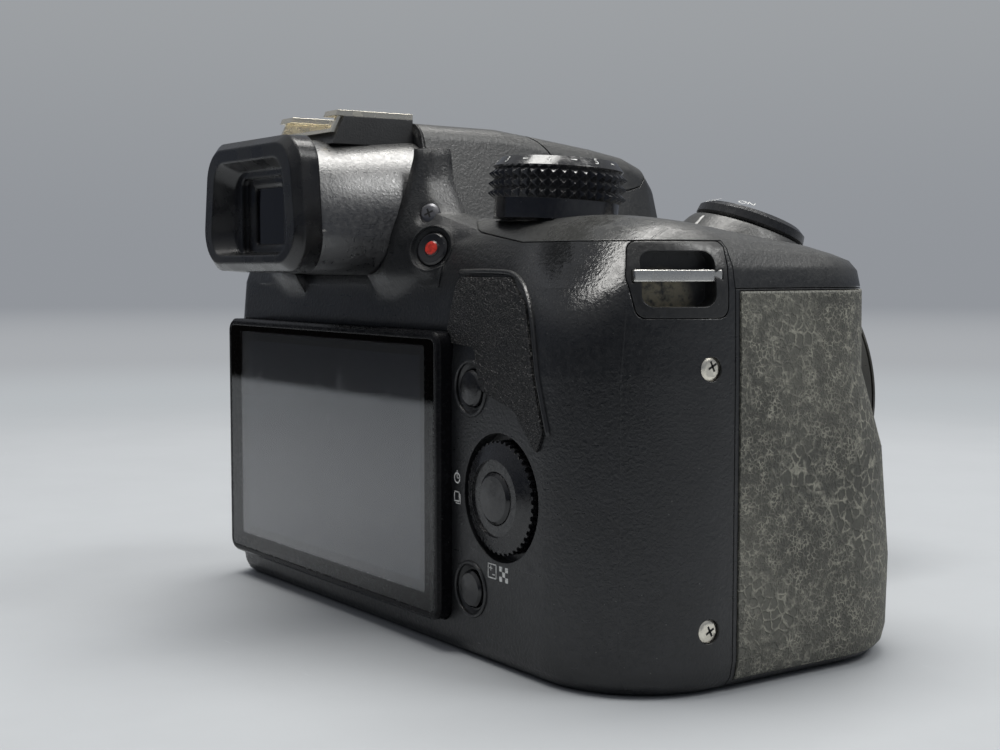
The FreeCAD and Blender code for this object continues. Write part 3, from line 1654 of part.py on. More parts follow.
form = whole_form()
top_cover, rear_cover, front_cover = make_covers(form)
save(top_cover, "top_cover")
save(rear_cover, "rear_cover")
save(front_cover, "front_cover")
save(make_base_plate(), "base_plate")
save(make_grip_rubber(), "grip_rubber")
save(make_thumb_rest(), "thumb_rest")
save(make_viewfinder_housing(), "viewfinder_housing")
save(make_eyecup(), "eyecup")
save(make_eyepiece_window(), "eyepiece_window")
save(make_finder_unit(), "viewfinder_unit")
save(make_dioptre_dial(), "dioptre_dial")
save(make_shoe_block(), "hot_shoe_block")
save(make_shoe_rails(), "hot_shoe_rails")
save(make_screen_bezel(), "screen_bezel")
save(make_screen_glass(), "screen_glass")
save(make_display_panel(), "display_panel")
save(make_flash_head(form), "flash_head")
save(make_flash_window(), "flash_window")
save(flash_pin(0.0), "flash_hinge_pin")
save(flash_button_shape(0.0, flash_button_x[1]), "flash_button")
save(make_mode_dial(), "mode_dial")
save(make_power_ring(), "power_ring")
save(make_shutter_button(), "shutter_button")
save(top_button(finder_button_at, 0.0, -3.5), "finder_button")
save(make_movie_button(), "movie_button")
save(make_soft_key(upper_key_z), "upper_soft_key")
save(make_soft_key(lower_key_z), "lower_soft_key")
save(make_control_wheel(), "control_wheel")
save(make_centre_button(), "centre_button")
save(Part.makeCompound([make_lug_insert(side, form) for side in (-1, 1)]), "lug_inserts")
save(Part.makeCompound([lug_bar(side) for side in (-1, 1)]), "strap_lugs")
save(make_tripod_socket(), "tripod_socket")
save(battery_shape(0.0), "battery")
save(make_battery_door(), "battery_door")
save(door_pin(0.0), "battery_door_pin")
save(make_battery_latch(), "battery_latch")
save(make_side_door(), "side_door")
save(make_port_panel(), "port_panel")
save(make_memory_card(), "memory_card")
save(make_usb_socket(), "usb_socket")
save(make_chassis(), "chassis")
save(make_sensor_unit(), "sensor_unit")
save(make_shutter_unit(), "shutter_unit")
save(make_main_board(), "main_board")
save(make_mount_ring(), "mount_ring")
save(Part.makeCompound([mount_screw(angle) for angle in mount_screw_angles]), "mount_screws")
save(make_body_contacts(), "body_contacts")
save(make_release_button(), "lens_release_button")
save(make_locking_pin(), "locking_pin")
save(make_af_lamp_window(), "af_lamp_window")
save(make_cover_screws(), "cover_screws")
save(make_lens_mount(), "lens_mount")
save(make_lens_barrel(), "lens_barrel")
save(make_zoom_ring(), "zoom_ring")
save(make_inner_barrel(), "inner_barrel")
save(make_focus_ring(), "focus_ring")
save(make_front_ring(), "front_ring")
save(make_front_element(), "front_element")
save(make_rear_element(), "rear_element")
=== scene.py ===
import json
import math

import bmesh
import bpy
from mathutils import Matrix, Vector
from mathutils.bvhtree import BVHTree


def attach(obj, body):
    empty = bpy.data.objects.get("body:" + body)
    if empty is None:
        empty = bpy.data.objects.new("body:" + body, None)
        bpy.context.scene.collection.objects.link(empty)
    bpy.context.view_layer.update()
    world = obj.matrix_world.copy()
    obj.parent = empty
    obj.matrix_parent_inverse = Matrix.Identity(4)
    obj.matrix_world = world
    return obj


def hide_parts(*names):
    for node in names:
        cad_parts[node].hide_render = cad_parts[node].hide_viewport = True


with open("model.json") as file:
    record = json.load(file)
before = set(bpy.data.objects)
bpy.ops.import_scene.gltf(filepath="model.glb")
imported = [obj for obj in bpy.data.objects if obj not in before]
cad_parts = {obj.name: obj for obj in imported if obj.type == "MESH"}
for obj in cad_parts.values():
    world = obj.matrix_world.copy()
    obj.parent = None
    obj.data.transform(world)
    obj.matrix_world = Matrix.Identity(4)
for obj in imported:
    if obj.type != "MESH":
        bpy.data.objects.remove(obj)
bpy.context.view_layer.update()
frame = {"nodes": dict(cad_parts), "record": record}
nodes = frame["nodes"]
bodies = frame["record"]["behaviour"]["bodies"]
moves_with = {node: body for body, group in bodies.items() for node in group}
scene = bpy.context.scene

# Front, rear and side covers: black polycarbonate shells, injection moulded with an etched grain
# and a satin coat. Handling has polished the shoulder over the grip, the edges have gone pale, and
# a paler film on what faces up high on the body is partly dust and partly painted sheen. The flank
# beside the viewfinder has its creases eased.
cover_black = (0.0085, 0.0090, 0.0100)
cover_rubbed = (0.038, 0.039, 0.041)
cover_grain_scale = 1900.0
speck_grey = (0.20, 0.20, 0.19)
# Colour and heights of the pale film on upward faces: dust with a painted sheen.
painted_sheen_dust_grey = (0.115, 0.115, 0.108)
painted_sheen_dust_heights = (0.0595, 0.0630)
crumb_brown = (0.27, 0.24, 0.16)
crumb_reach = (0.0042, 0.0062)
shoulder_spot = (-0.0675, 0.0265, 0.0655)
shoulder_reach = (0.0020, 0.0155)
shoulder_polish = 0.19
shoulder_lean = 1.15
flank_spot = (-0.0060, 0.0270, 0.0640)
flank_reach = (0.028, 0.044)
flank_radius = 0.0026
mould_line_x = -0.0768
mould_line_starts = (0.016, 0.017)
mould_line_fades = (0.00016, 0.00004)
mould_line_depth = 0.00004
crease_deg = 28.0
blunt_crease_deg = 46.0


def fit_piece(shape, name, node, finish):
    """Turns a bmesh into a piece with a finish, moving with the body of a CAD piece."""
    mesh = bpy.data.meshes.new(name)
    shape.to_mesh(mesh)
    shape.free()
    mesh.materials.append(finish)
    piece = bpy.data.objects.new(name, mesh)
    scene.collection.objects.link(piece)
    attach(piece, moves_with[node])
    return piece


def stand_in(shape, node, finish):
    """Turns a bmesh into a piece that takes the place of a CAD piece."""
    piece = fit_piece(shape, node + "_skin", node, finish)
    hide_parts(node)
    weighting = piece.modifiers.new("even_normals", "WEIGHTED_NORMAL")
    weighting.keep_sharp = True


def keep_creases(shape, sharp_deg):
    """Keeps the edges of a smooth mesh sharp where they turn by an angle or more."""
    for edge in shape.edges:
        turn = edge.calc_face_angle(0.0)
        edge.smooth = len(edge.link_faces) == 2 and turn < math.radians(sharp_deg)


def dress(finish, *pieces, sharp_deg=crease_deg):
    """Puts welded copies with smooth curves and one finish in the place of CAD pieces."""
    for node in pieces:
        shape = bmesh.new()
        shape.from_mesh(nodes[node].data)
        bmesh.ops.remove_doubles(shape, verts=shape.verts, dist=2e-6)
        bmesh.ops.dissolve_degenerate(shape, dist=1e-6, edges=shape.edges)
        for face in shape.faces:
            face.smooth = True
        keep_creases(shape, sharp_deg)
        stand_in(shape, node, finish)


def new_finish(name, colour, roughness, metallic=0.0, specular=0.5):
    """Material with its shader and the piece's own coordinates."""
    finish = bpy.data.materials.new(name)
    finish.use_nodes = True
    tree = finish.node_tree
    shader = tree.nodes["Principled BSDF"]
    shader.inputs["Base Color"].default_value = (*colour, 1.0)
    shader.inputs["Roughness"].default_value = roughness
    shader.inputs["Metallic"].default_value = metallic
    shader.inputs["Specular IOR Level"].default_value = specular
    place = tree.nodes.new("ShaderNodeTexCoord").outputs["Object"]
    return finish, tree, shader, place


def cloud(tree, place, scale, detail=3.0, roughness=0.55, stretch=(1.0, 1.0, 1.0)):
    """Soft random pattern; stretch squeezes it along each axis."""
    mapping = tree.nodes.new("ShaderNodeMapping")
    mapping.inputs["Scale"].default_value = stretch
    tree.links.new(place, mapping.inputs["Vector"])
    noise = tree.nodes.new("ShaderNodeTexNoise")
    noise.inputs["Scale"].default_value = scale
    noise.inputs["Detail"].default_value = detail
    noise.inputs["Roughness"].default_value = roughness
    tree.links.new(mapping.outputs["Vector"], noise.inputs["Vector"])
    return noise.outputs["Fac"]


def cells(tree, place, scale, feature="F1"):
    """Distance to the middles or the borders of random cells."""
    pattern = tree.nodes.new("ShaderNodeTexVoronoi")
    pattern.feature = feature
    pattern.inputs["Scale"].default_value = scale
    tree.links.new(place, pattern.inputs["Vector"])
    return pattern.outputs["Distance"]


def levels(tree, value, low, high, to_low=0.0, to_high=1.0):
    """Stretches a range of a pattern to another range, with soft ends."""
    remap = tree.nodes.new("ShaderNodeMapRange")
    remap.interpolation_type = "SMOOTHSTEP"
    ends = {"From Min": low, "From Max": high, "To Min": to_low, "To Max": to_high}
    for socket, number in ends.items():
        remap.inputs[socket].default_value = number
    tree.links.new(value, remap.inputs["Value"])
    return remap.outputs["Result"]


def combine(tree, operation, first, second):
    """Result of one sum of two sockets or numbers."""
    sums = tree.nodes.new("ShaderNodeMath")
    sums.operation = operation
    for socket, value in zip(sums.inputs, (first, second)):
        if isinstance(value, (int, float)):
            socket.default_value = value
        else:
            tree.links.new(value, socket)
    return sums.outputs["Value"]


def product(tree, first, second):
    """Product of two sockets or numbers."""
    return combine(tree, "MULTIPLY", first, second)


def part_of(tree, vector, axis):
    """One coordinate of a vector."""
    split = tree.nodes.new("ShaderNodeSeparateXYZ")
    tree.links.new(vector, split.inputs["Vector"])
    return split.outputs[axis]


def distance_from(tree, value, number):
    """How far a value is from a number."""
    return combine(tree, "ABSOLUTE", combine(tree, "SUBTRACT", value, number), 0.0)


def tint(tree, factor, low, high):
    """Colour between two, by a pattern."""
    mix = tree.nodes.new("ShaderNodeMix")
    mix.data_type = "RGBA"
    tree.links.new(factor, mix.inputs["Factor"])
    for index, colour in ((6, low), (7, high)):
        if isinstance(colour, tuple):
            mix.inputs[index].default_value = (*colour, 1.0)
        else:
            tree.links.new(colour, mix.inputs[index])
    return mix.outputs[2]


def shaded(colour, share):
    """Colour with each part multiplied by a share."""
    return tuple(part * share for part in colour)


def relief(tree, height, depth, under=None):
    """Bumps of a depth in metres, over another normal."""
    bump = tree.nodes.new("ShaderNodeBump")
    bump.inputs["Distance"].default_value = depth
    bump.inputs["Strength"].default_value = 1.0
    tree.links.new(height, bump.inputs["Height"])
    if under is not None:
        tree.links.new(under, bump.inputs["Normal"])
    return bump.outputs["Normal"]


def eased_normal(tree, radius):
    """Normal that rounds sharp edges by a radius, which is a number or a socket."""
    bevel = tree.nodes.new("ShaderNodeBevel")
    bevel.samples = 4
    if isinstance(radius, float):
        bevel.inputs["Radius"].default_value = radius
    else:
        tree.links.new(radius, bevel.inputs["Radius"])
    return bevel.outputs["Normal"]


def edge_mask(tree, eased):
    """Mask of the sharp edges, where the eased normal leaves the real one."""
    geometry = tree.nodes.new("ShaderNodeNewGeometry")
    alike = tree.nodes.new("ShaderNodeVectorMath")
    alike.operation = "DOT_PRODUCT"
    tree.links.new(eased, alike.inputs[0])
    tree.links.new(geometry.outputs["Normal"], alike.inputs[1])
    return levels(tree, alike.outputs["Value"], 0.99, 0.86)


def near_point(tree, place, point, inner, outer):
    """Mask that is 1 at a point and fades out by a distance."""
    away = tree.nodes.new("ShaderNodeVectorMath")
    away.operation = "DISTANCE"
    away.inputs[1].default_value = point
    tree.links.new(place, away.inputs[0])
    return levels(tree, away.outputs["Value"], outer, inner)


def leaning_normal(tree, normal, mask, amount):
    """Normal turned skyward where a mask is set, as on a shoulder that is rounded off."""
    skyward = tree.nodes.new("ShaderNodeCombineXYZ")
    tree.links.new(product(tree, mask, amount), skyward.inputs["Z"])
    total = tree.nodes.new("ShaderNodeVectorMath")
    total.operation = "ADD"
    tree.links.new(normal, total.inputs[0])
    tree.links.new(skyward.outputs["Vector"], total.inputs[1])
    unit = tree.nodes.new("ShaderNodeVectorMath")
    unit.operation = "NORMALIZE"
    tree.links.new(total.outputs["Vector"], unit.inputs[0])
    return unit.outputs["Vector"]


def moulded_black(
    name, colour, grain, roughness, rubbed=cover_rubbed, edge=0.00025, specular=0.6,
    painted_sheen_dust=0.0, painted_sheen_dust_from=0.25, worn_spot=None, eased_spot=None, crumb_spot=None, line_x=None,
):
    """Black plastic with a grain of a scale and a depth, smoother and paler where it is rubbed.

    A film of dust and painted sheen on upward faces, polished, eased and dusty spots and a mould
    line are put on where given.
    """
    finish, tree, shader, place = new_finish(name, colour, roughness, specular=specular)
    surface = eased_normal(tree, edge)
    edges = edge_mask(tree, surface)
    if eased_spot is not None:
        eased_here = near_point(tree, place, eased_spot, *flank_reach)
        surface = eased_normal(tree, levels(tree, eased_here, 0.0, 1.0, edge, flank_radius))

    patches = levels(tree, cloud(tree, place, scale=90.0, detail=4.0), 0.35, 0.75)
    base = tint(tree, patches, colour, shaded(colour, 1.5))
    # Paler film on upward faces high on the body: partly dust, partly painted sheen.
    if painted_sheen_dust > 0.0:
        facing = tree.nodes.new("ShaderNodeTexCoord").outputs["Normal"]
        upward = levels(tree, part_of(tree, facing, "Z"), painted_sheen_dust_from, 0.95)
        upper_part = levels(tree, part_of(tree, place, "Z"), *painted_sheen_dust_heights)
        base = tint(tree, product(tree, product(tree, upward, upper_part), painted_sheen_dust), base, painted_sheen_dust_grey)
    specks = levels(tree, cells(tree, place, scale=420.0), 0.055, 0.03)
    base = tint(tree, product(tree, specks, 0.35), base, speck_grey)
    rubbing = levels(tree, cloud(tree, place, scale=260.0), 0.42, 0.62)
    worn = product(tree, edges, rubbing)
    base = tint(tree, product(tree, worn, 0.7), base, rubbed)
    if crumb_spot is not None:
        crumbs = levels(tree, cloud(tree, place, scale=900.0, detail=4.0), 0.3, 0.6)
        dusty_here = near_point(tree, place, crumb_spot, *crumb_reach)
        base = tint(tree, product(tree, dusty_here, crumbs), base, crumb_brown)
    tree.links.new(base, shader.inputs["Base Color"])

    patchy = cloud(tree, place, scale=1200.0, detail=2.0)
    rough = levels(tree, patchy, 0.3, 0.7, roughness - 0.07, roughness + 0.07)
    drawn_out = cloud(tree, place, scale=160.0, detail=2.0, roughness=0.5, stretch=(1.0, 1.0, 14.0))
    scratches = levels(tree, drawn_out, 0.66, 0.74)
    rough = combine(tree, "SUBTRACT", rough, product(tree, scratches, 0.10))
    rough = combine(tree, "SUBTRACT", rough, product(tree, worn, 0.08))
    if worn_spot is not None:
        rubbed_here = near_point(tree, place, worn_spot, *shoulder_reach)
        rough = combine(tree, "SUBTRACT", rough, product(tree, rubbed_here, shoulder_polish))
        surface = leaning_normal(tree, surface, rubbed_here, shoulder_lean)
    tree.links.new(rough, shader.inputs["Roughness"])

    if line_x is not None:
        off_line = distance_from(tree, part_of(tree, place, "X"), line_x)
        behind = levels(tree, part_of(tree, place, "Y"), *mould_line_starts)
        line = product(tree, levels(tree, off_line, *mould_line_fades), behind)
        surface = relief(tree, line, mould_line_depth, surface)
    grain_scale, grain_depth = grain
    grains = cloud(tree, place, grain_scale, detail=2.0, roughness=0.6)
    tree.links.new(relief(tree, grains, grain_depth, surface), shader.inputs["Normal"])
    return finish


cover_finish = moulded_black(
    "moulded_cover", cover_black, grain=(cover_grain_scale, 0.00008), roughness=0.35, painted_sheen_dust=0.28,
    worn_spot=shoulder_spot, eased_spot=flank_spot, line_x=mould_line_x,
)
dress(cover_finish, "front_cover", "side_door", sharp_deg=blunt_crease_deg)
dress(cover_finish, "rear_cover")

# Top cover: an injection moulding of the same plastic that closes the body from above. Its deck
# and its hump are duller, under a thicker film of dust and painted sheen that reaches their sides.
deck_finish = moulded_black(
    "moulded_deck", cover_black, grain=(cover_grain_scale, 0.00006), roughness=0.40, painted_sheen_dust=0.38,
    painted_sheen_dust_from=-0.15, worn_spot=shoulder_spot, line_x=mould_line_x,
)
dress(deck_finish, "top_cover", sharp_deg=blunt_crease_deg)

# Base plate: a thin metal plate that closes the body from below, with a fine coat of black paint.
# The battery door is given the same look.
base_finish = moulded_black(
    "painted_base", colour=(0.012, 0.012, 0.013), rubbed=(0.06, 0.06, 0.06),
    grain=(3200.0, 0.00003), roughness=0.45,
)
dress(base_finish, "base_plate")

# The rear cover has a raised bead round the outer edge of the thumb rest, moulded with it.
# Its corners are X and Z in millimetres.
bead_radius = 0.00045
bead_sides = 10
bead_points = 60
bead_corners = [(-39.5, 62.6), (-47.0, 62.7), (-54.6, 62.5), (-58.6, 60.6)]
bead_corners += [(-60.8, 56.6), (-63.2, 48.0), (-66.1, 38.2)]
behind_y = 0.1
rearward = Vector((0.0, 1.0, 0.0))
solid_of = {}


def surface_at(node, start, direction):
    """First point of a CAD piece on a line, and the face's normal there."""
    if node not in solid_of:
        solid = bmesh.new()
        solid.from_mesh(nodes[node].data)
        solid_of[node] = BVHTree.FromBMesh(solid)
        solid.free()
    point, normal, _, _ = solid_of[node].ray_cast(Vector(start), Vector(direction))
    return point, normal


def smoothed(path, passes):
    """Draws each inner point of a path towards its neighbours."""
    for _ in range(passes):
        path[1:-1] = [(a + 2 * b + c) / 4 for a, b, c in zip(path, path[1:], path[2:])]
    return path


def evened(points, count):
    """Path with evenly spaced points."""
    lengths = [(Vector(b) - Vector(a)).length for a, b in zip(points, points[1:])]
    total = sum(lengths)
    path = []
    for step in range(count):
        along = total * step / (count - 1)
        index = 0
        while index < len(lengths) - 1 and along > lengths[index]:
            along -= lengths[index]
            index += 1
        path.append(Vector(points[index]).lerp(Vector(points[index + 1]), along / lengths[index]))
    return path


def skinned(rings):
    """Surface through rings of equal counts, with its two ends capped."""
    shape = bmesh.new()
    made = [[shape.verts.new(point) for point in ring] for ring in rings]
    for ring, beyond in zip(made, made[1:]):
        for index in range(len(ring)):
            after = (index + 1) % len(ring)
            shape.faces.new((ring[index], ring[after], beyond[after], beyond[index]))
    for ring in (made[0], made[-1]):
        shape.faces.new(ring)
    bmesh.ops.recalc_face_normals(shape, faces=shape.faces)
    for face in shape.faces:
        face.smooth = len(face.verts) == 4
    return shape


def tube(points, radius, sides):
    """Round bar through points that lie near an upright plane, closed at both ends."""
    rings = []
    for index, point in enumerate(points):
        ahead = points[min(index + 1, len(points) - 1)] - points[max(index - 1, 0)]
        ahead.normalize()
        first = ahead.cross(rearward).normalized()
        second = ahead.cross(first)
        ring = []
        for side in range(sides):
            angle = 2 * math.pi * side / sides
            ring.append(point + (first * math.cos(angle) + second * math.sin(angle)) * radius)
        rings.append(ring)
    return skinned(rings)


bead = []
for across, height in smoothed(evened(bead_corners, bead_points), passes=6):
    start = (across / 1000, behind_y, height / 1000)
    point, _ = surface_at("rear_cover", start, -rearward)
    bead.append(point)
bead_bar = tube(smoothed(bead, passes=3), bead_radius, bead_sides)
fit_piece(bead_bar, "thumb_bead", "rear_cover", cover_finish)

# Grip rubber: a moulded elastomer skin glued over the grip, with a pebbled leather-like grain.
# Its raised lines have turned grey with dust, a paler band runs along its upper rim, and the hand
# has worn the grain fine in places.
rubber_dark = (0.066, 0.066, 0.058)
rubber_dust = (0.365, 0.355, 0.295)
rim_pale = (0.42, 0.41, 0.36)
rim_heights = (0.0594, 0.0596)


def pebbled_rubber(name, dark, dusty, cell_scale, depth, roughness, dust_share, has_rim=False):
    """Rubber with wandering raised lines that hold dust."""
    finish, tree, shader, place = new_finish(name, dark, roughness, specular=0.35)
    drift = tree.nodes.new("ShaderNodeTexNoise")
    drift.inputs["Scale"].default_value = cell_scale * 1.6
    drift.inputs["Detail"].default_value = 2.0
    tree.links.new(place, drift.inputs["Vector"])
    wander = tree.nodes.new("ShaderNodeMix")
    wander.data_type = "VECTOR"
    wander.inputs["Factor"].default_value = 0.0011
    tree.links.new(place, wander.inputs[4])
    tree.links.new(drift.outputs["Color"], wander.inputs[5])
    shaken = wander.outputs[1]

    borders = levels(tree, cells(tree, shaken, cell_scale, "DISTANCE_TO_EDGE"), 0.16, 0.02)
    fine_scale = cell_scale * 2.3
    fine = levels(tree, cells(tree, shaken, fine_scale, "DISTANCE_TO_EDGE"), 0.18, 0.03)
    worn_fine = levels(tree, cloud(tree, place, scale=60.0), 0.40, 0.62)
    lines = tint(tree, worn_fine, borders, fine)
    catching = levels(tree, cloud(tree, place, 420.0, detail=4.0, roughness=0.7), 0.36, 0.66)
    dust = product(tree, lines, catching)

    haze = levels(tree, cloud(tree, place, scale=45.0), 0.30, 0.75, 0.04, 0.22)
    base = tint(tree, haze, dark, dusty)
    base = tint(tree, product(tree, dust, dust_share), base, dusty)
    if has_rim:
        # A paler band in the colour along the upper rim.
        rim = levels(tree, part_of(tree, place, "Z"), *rim_heights)
        base = tint(tree, product(tree, rim, 0.8), base, rim_pale)
    tree.links.new(base, shader.inputs["Base Color"])
    rough = levels(tree, dust, 0.0, 1.0, roughness, roughness + 0.2)
    tree.links.new(rough, shader.inputs["Roughness"])
    pores = product(tree, cloud(tree, place, scale=1500.0), 0.35)
    height = combine(tree, "ADD", lines, pores)
    bumps = relief(tree, height, depth, eased_normal(tree, 0.0003))
    tree.links.new(bumps, shader.inputs["Normal"])
    return finish


grip_skin = pebbled_rubber(
    "grip_skin", rubber_dark, rubber_dust, cell_scale=560.0, depth=0.00024, roughness=0.62,
    dust_share=0.95, has_rim=True,
)
dress(grip_skin, "grip_rubber")

# Thumb rest: a pad of the same elastomer, moulded with a coarse wrinkled grain and set into the
# rear cover.
thumb_skin = pebbled_rubber(
    "thumb_skin", dark=(0.008, 0.008, 0.009), dusty=(0.030, 0.030, 0.030), cell_scale=780.0,
    depth=0.00045, roughness=0.36, dust_share=0.25,
)
dress(thumb_skin, "thumb_rest")

# Viewfinder housing: a satin moulding with well rounded upper corners, screwed to the tower from
# inside, with the finder's tunnel through it. Each section gives its depth, its half widths below
# and above, its underside and its top, in millimetres; the last two are the tunnel's.
housing_levels = [
    (20.3, 21.5, 21.3, 61.7, 86.8),
    (28.0, 20.5, 20.3, 61.9, 86.5),
    (36.0, 19.3, 19.1, 62.4, 86.1),
    (42.2, 18.5, 18.3, 62.9, 85.7),
    (43.0, 17.9, 17.7, 63.4, 85.2),
]
housing_top_radius = 16.0
housing_bottom_radius = 6.5
tunnel_levels = [(43.0, 5.75, 5.75, 67.4, 77.6), (41.4, 5.75, 5.75, 67.4, 77.6)]
tunnel_radius = 0.6
housing_black = (0.010, 0.010, 0.011)
housing_crease_deg = 40.0
housing_ior = 1.65


def rounded_section(level, top_radius, bottom_radius, steps=12):
    """Ring of points round one section, with an arc at each corner."""
    depth, low_half, high_half, low, high = level
    corners = [
        (low_half - bottom_radius, low + bottom_radius, bottom_radius, -90),
        (high_half - top_radius, high - top_radius, top_radius, 0),
        (-high_half + top_radius, high - top_radius, top_radius, 90),
        (-low_half + bottom_radius, low + bottom_radius, bottom_radius, 180),
    ]
    ring = []
    for across, height, radius, start in corners:
        for step in range(steps + 1):
            angle = math.radians(start + 90 * step / steps)
            u = across + radius * math.cos(angle)
            v = height + radius * math.sin(angle)
            ring.append(Vector((u, depth, v)) / 1000)
    return ring


housing_rings = [
    rounded_section(level, housing_top_radius, housing_bottom_radius) for level in housing_levels
]
housing_rings += [rounded_section(level, tunnel_radius, tunnel_radius) for level in tunnel_levels]
housing = skinned(housing_rings)
keep_creases(housing, housing_crease_deg)
# The housing's upper faces take the film of dust and painted sheen.
housing_finish = moulded_black(
    "finder_housing", housing_black, grain=(2000.0, 0.00005), roughness=0.34, edge=0.0004,
    specular=1.0, painted_sheen_dust=0.25,
)
housing_finish.node_tree.nodes["Principled BSDF"].inputs["IOR"].default_value = housing_ior
stand_in(housing, "viewfinder_housing", housing_finish)

# Dioptre dial: a small wheel in the left side of the housing, moulded in black plastic with ribs
# round its rim.
dioptre_finish = moulded_black(
    "dioptre_wheel", colour=(0.012, 0.012, 0.013), rubbed=(0.04, 0.04, 0.04),
    grain=(3000.0, 0.00002), roughness=0.38, edge=0.00012,
)
dress(dioptre_finish, "dioptre_dial")

# Eyecup: soft black rubber pushed over the housing's rim, with a stepped recess round the window.
# Fingers have left smudges on it.
eyecup_black = (0.008, 0.008, 0.009)
eyecup_finish, tree, shader, place = new_finish("eyecup_rubber", eyecup_black, 0.28, specular=0.6)
smudges = levels(tree, cloud(tree, place, scale=130.0, detail=4.0), 0.35, 0.7)
smudged = tint(tree, smudges, (0.007, 0.007, 0.008), (0.016, 0.016, 0.016))
tree.links.new(smudged, shader.inputs["Base Color"])
tree.links.new(levels(tree, smudges, 0.0, 1.0, 0.22, 0.36), shader.inputs["Roughness"])
skin_grain = relief(tree, cloud(tree, place, scale=1800.0), 0.00002, eased_normal(tree, 0.0006))
tree.links.new(skin_grain, shader.inputs["Normal"])
dress(eyecup_finish, "eyecup")

# Eyepiece: a small pane of coated glass that closes the finder at the back. Behind the pane is
# the finder's tube, a dark moulding.
pane_finish, tree, shader, place = new_finish(
    "eyepiece_glass", (0.002, 0.002, 0.004), roughness=0.04, specular=0.4
)
haze = levels(tree, cloud(tree, place, scale=400.0), 0.4, 0.8, 0.03, 0.12)
tree.links.new(haze, shader.inputs["Roughness"])
dress(pane_finish, "eyepiece_window")
tube_finish = moulded_black(
    "finder_tube", colour=(0.004, 0.004, 0.004), rubbed=(0.01, 0.01, 0.01),
    grain=(2500.0, 0.00002), roughness=0.6,
)
dress(tube_finish, "viewfinder_unit")

# Accessory shoe: spring-steel rails, plated in a warm tone and dull in places. They sit on a
# black moulded block on top of the hump.
shoe_grey = (0.034, 0.034, 0.034)
shoe_plating = (0.93, 0.87, 0.73)


def bare_metal(name, colour, roughness, drawn=(1.0, 12.0, 12.0), dirt=0.3):
    """Metal with drawn lines, dull patches and dirt in them."""
    finish, tree, shader, place = new_finish(name, colour, roughness, metallic=1.0)
    dull = levels(tree, cloud(tree, place, 300.0, detail=4.0, roughness=0.65), 0.45, 0.75)
    base = tint(tree, product(tree, dull, dirt), colour, shaded(colour, 0.35))
    tree.links.new(base, shader.inputs["Base Color"])
    rough = levels(tree, dull, 0.0, 1.0, roughness, roughness + 0.2)
    tree.links.new(rough, shader.inputs["Roughness"])
    lines = cloud(tree, place, scale=900.0, detail=2.0, roughness=0.5, stretch=drawn)
    bumps = relief(tree, lines, 0.000003, eased_normal(tree, 0.00012))
    tree.links.new(bumps, shader.inputs["Normal"])
    return finish


block_finish = moulded_black("shoe_block", shoe_grey, grain=(2600.0, 0.00005), roughness=0.45)
dress(block_finish, "hot_shoe_block")
dress(bare_metal("shoe_plating", shoe_plating, roughness=0.22, dirt=0.2), "hot_shoe_rails")

# Screen: a dark display under a glass plate, in a glossy frame that stands proud of the rear cover.
# The display shows only inside its black margin.
display_centre = {"X": 0.0003, "Z": 0.0298}
display_half = {"X": 0.0330, "Z": 0.0189}
margin_black = (0.0015, 0.0015, 0.0015)
panel_dark = (0.016, 0.018, 0.024)
panel_pale = (0.021, 0.023, 0.029)
glass_ior = 1.5


def clear_pane(name, colour, roughness, specular, specular_tint=(1.0, 1.0, 1.0)):
    """Glass with faint wipe marks."""
    finish, tree, shader, place = new_finish(name, colour, roughness, specular=specular)
    shader.inputs["Transmission Weight"].default_value = 1.0
    shader.inputs["IOR"].default_value = glass_ior
    shader.inputs["Specular Tint"].default_value = (*specular_tint, 1.0)
    streaks = cloud(tree, place, scale=240.0, roughness=0.6, stretch=(1.0, 1.0, 0.3))
    wipes = levels(tree, streaks, 0.5, 0.8, roughness, roughness + 0.10)
    tree.links.new(wipes, shader.inputs["Roughness"])
    return finish


frame_finish = moulded_black(
    "screen_frame", colour=(0.005, 0.005, 0.006), rubbed=(0.03, 0.03, 0.03),
    grain=(2200.0, 0.00001), roughness=0.24, edge=0.0004, specular=0.12,
)
dress(frame_finish, "screen_bezel")
dress(clear_pane("screen_plate", (0.97, 0.98, 1.0), 0.015, specular=0.38), "screen_glass")
display_finish, tree, shader, place = new_finish("display_face", (0.05, 0.06, 0.075), 0.35)
within = {}
for axis, middle in display_centre.items():
    away = distance_from(tree, part_of(tree, place, axis), middle)
    within[axis] = combine(tree, "LESS_THAN", away, display_half[axis])
sheen = levels(tree, cloud(tree, place, scale=20.0, detail=2.0), 0.3, 0.7)
panel = tint(tree, sheen, panel_dark, panel_pale)
panel = tint(tree, product(tree, within["X"], within["Z"]), margin_black, panel)
tree.links.new(panel, shader.inputs["Base Color"])
dress(display_finish, "display_panel")

# Flash: a moulded head that fills the front of the hump, a ribbed clear diffuser under it, and a
# steel hinge pin behind. The battery door, the lens and the sockets have steel of the same kind.
diffuser_clear = (0.82, 0.84, 0.82)
diffuser_rib_depth = 0.0001
dress(deck_finish, "flash_head")
diffuser, tree, shader, place = new_finish("flash_diffuser", diffuser_clear, 0.12)
shader.inputs["Transmission Weight"].default_value = 0.7
ribs = tree.nodes.new("ShaderNodeTexWave")
ribs.bands_direction = "X"
ribs.inputs["Scale"].default_value = 320.0
tree.links.new(place, ribs.inputs["Vector"])
rib_bumps = relief(tree, ribs.outputs["Fac"], diffuser_rib_depth)
tree.links.new(rib_bumps, shader.inputs["Normal"])
dress(diffuser, "flash_window")
plain_steel = bare_metal("plain_steel", (0.60, 0.60, 0.58), roughness=0.30)
dress(plain_steel, "flash_hinge_pin", "battery_door_pin", "locking_pin")
dress(plain_steel, "usb_socket", "tripod_socket")

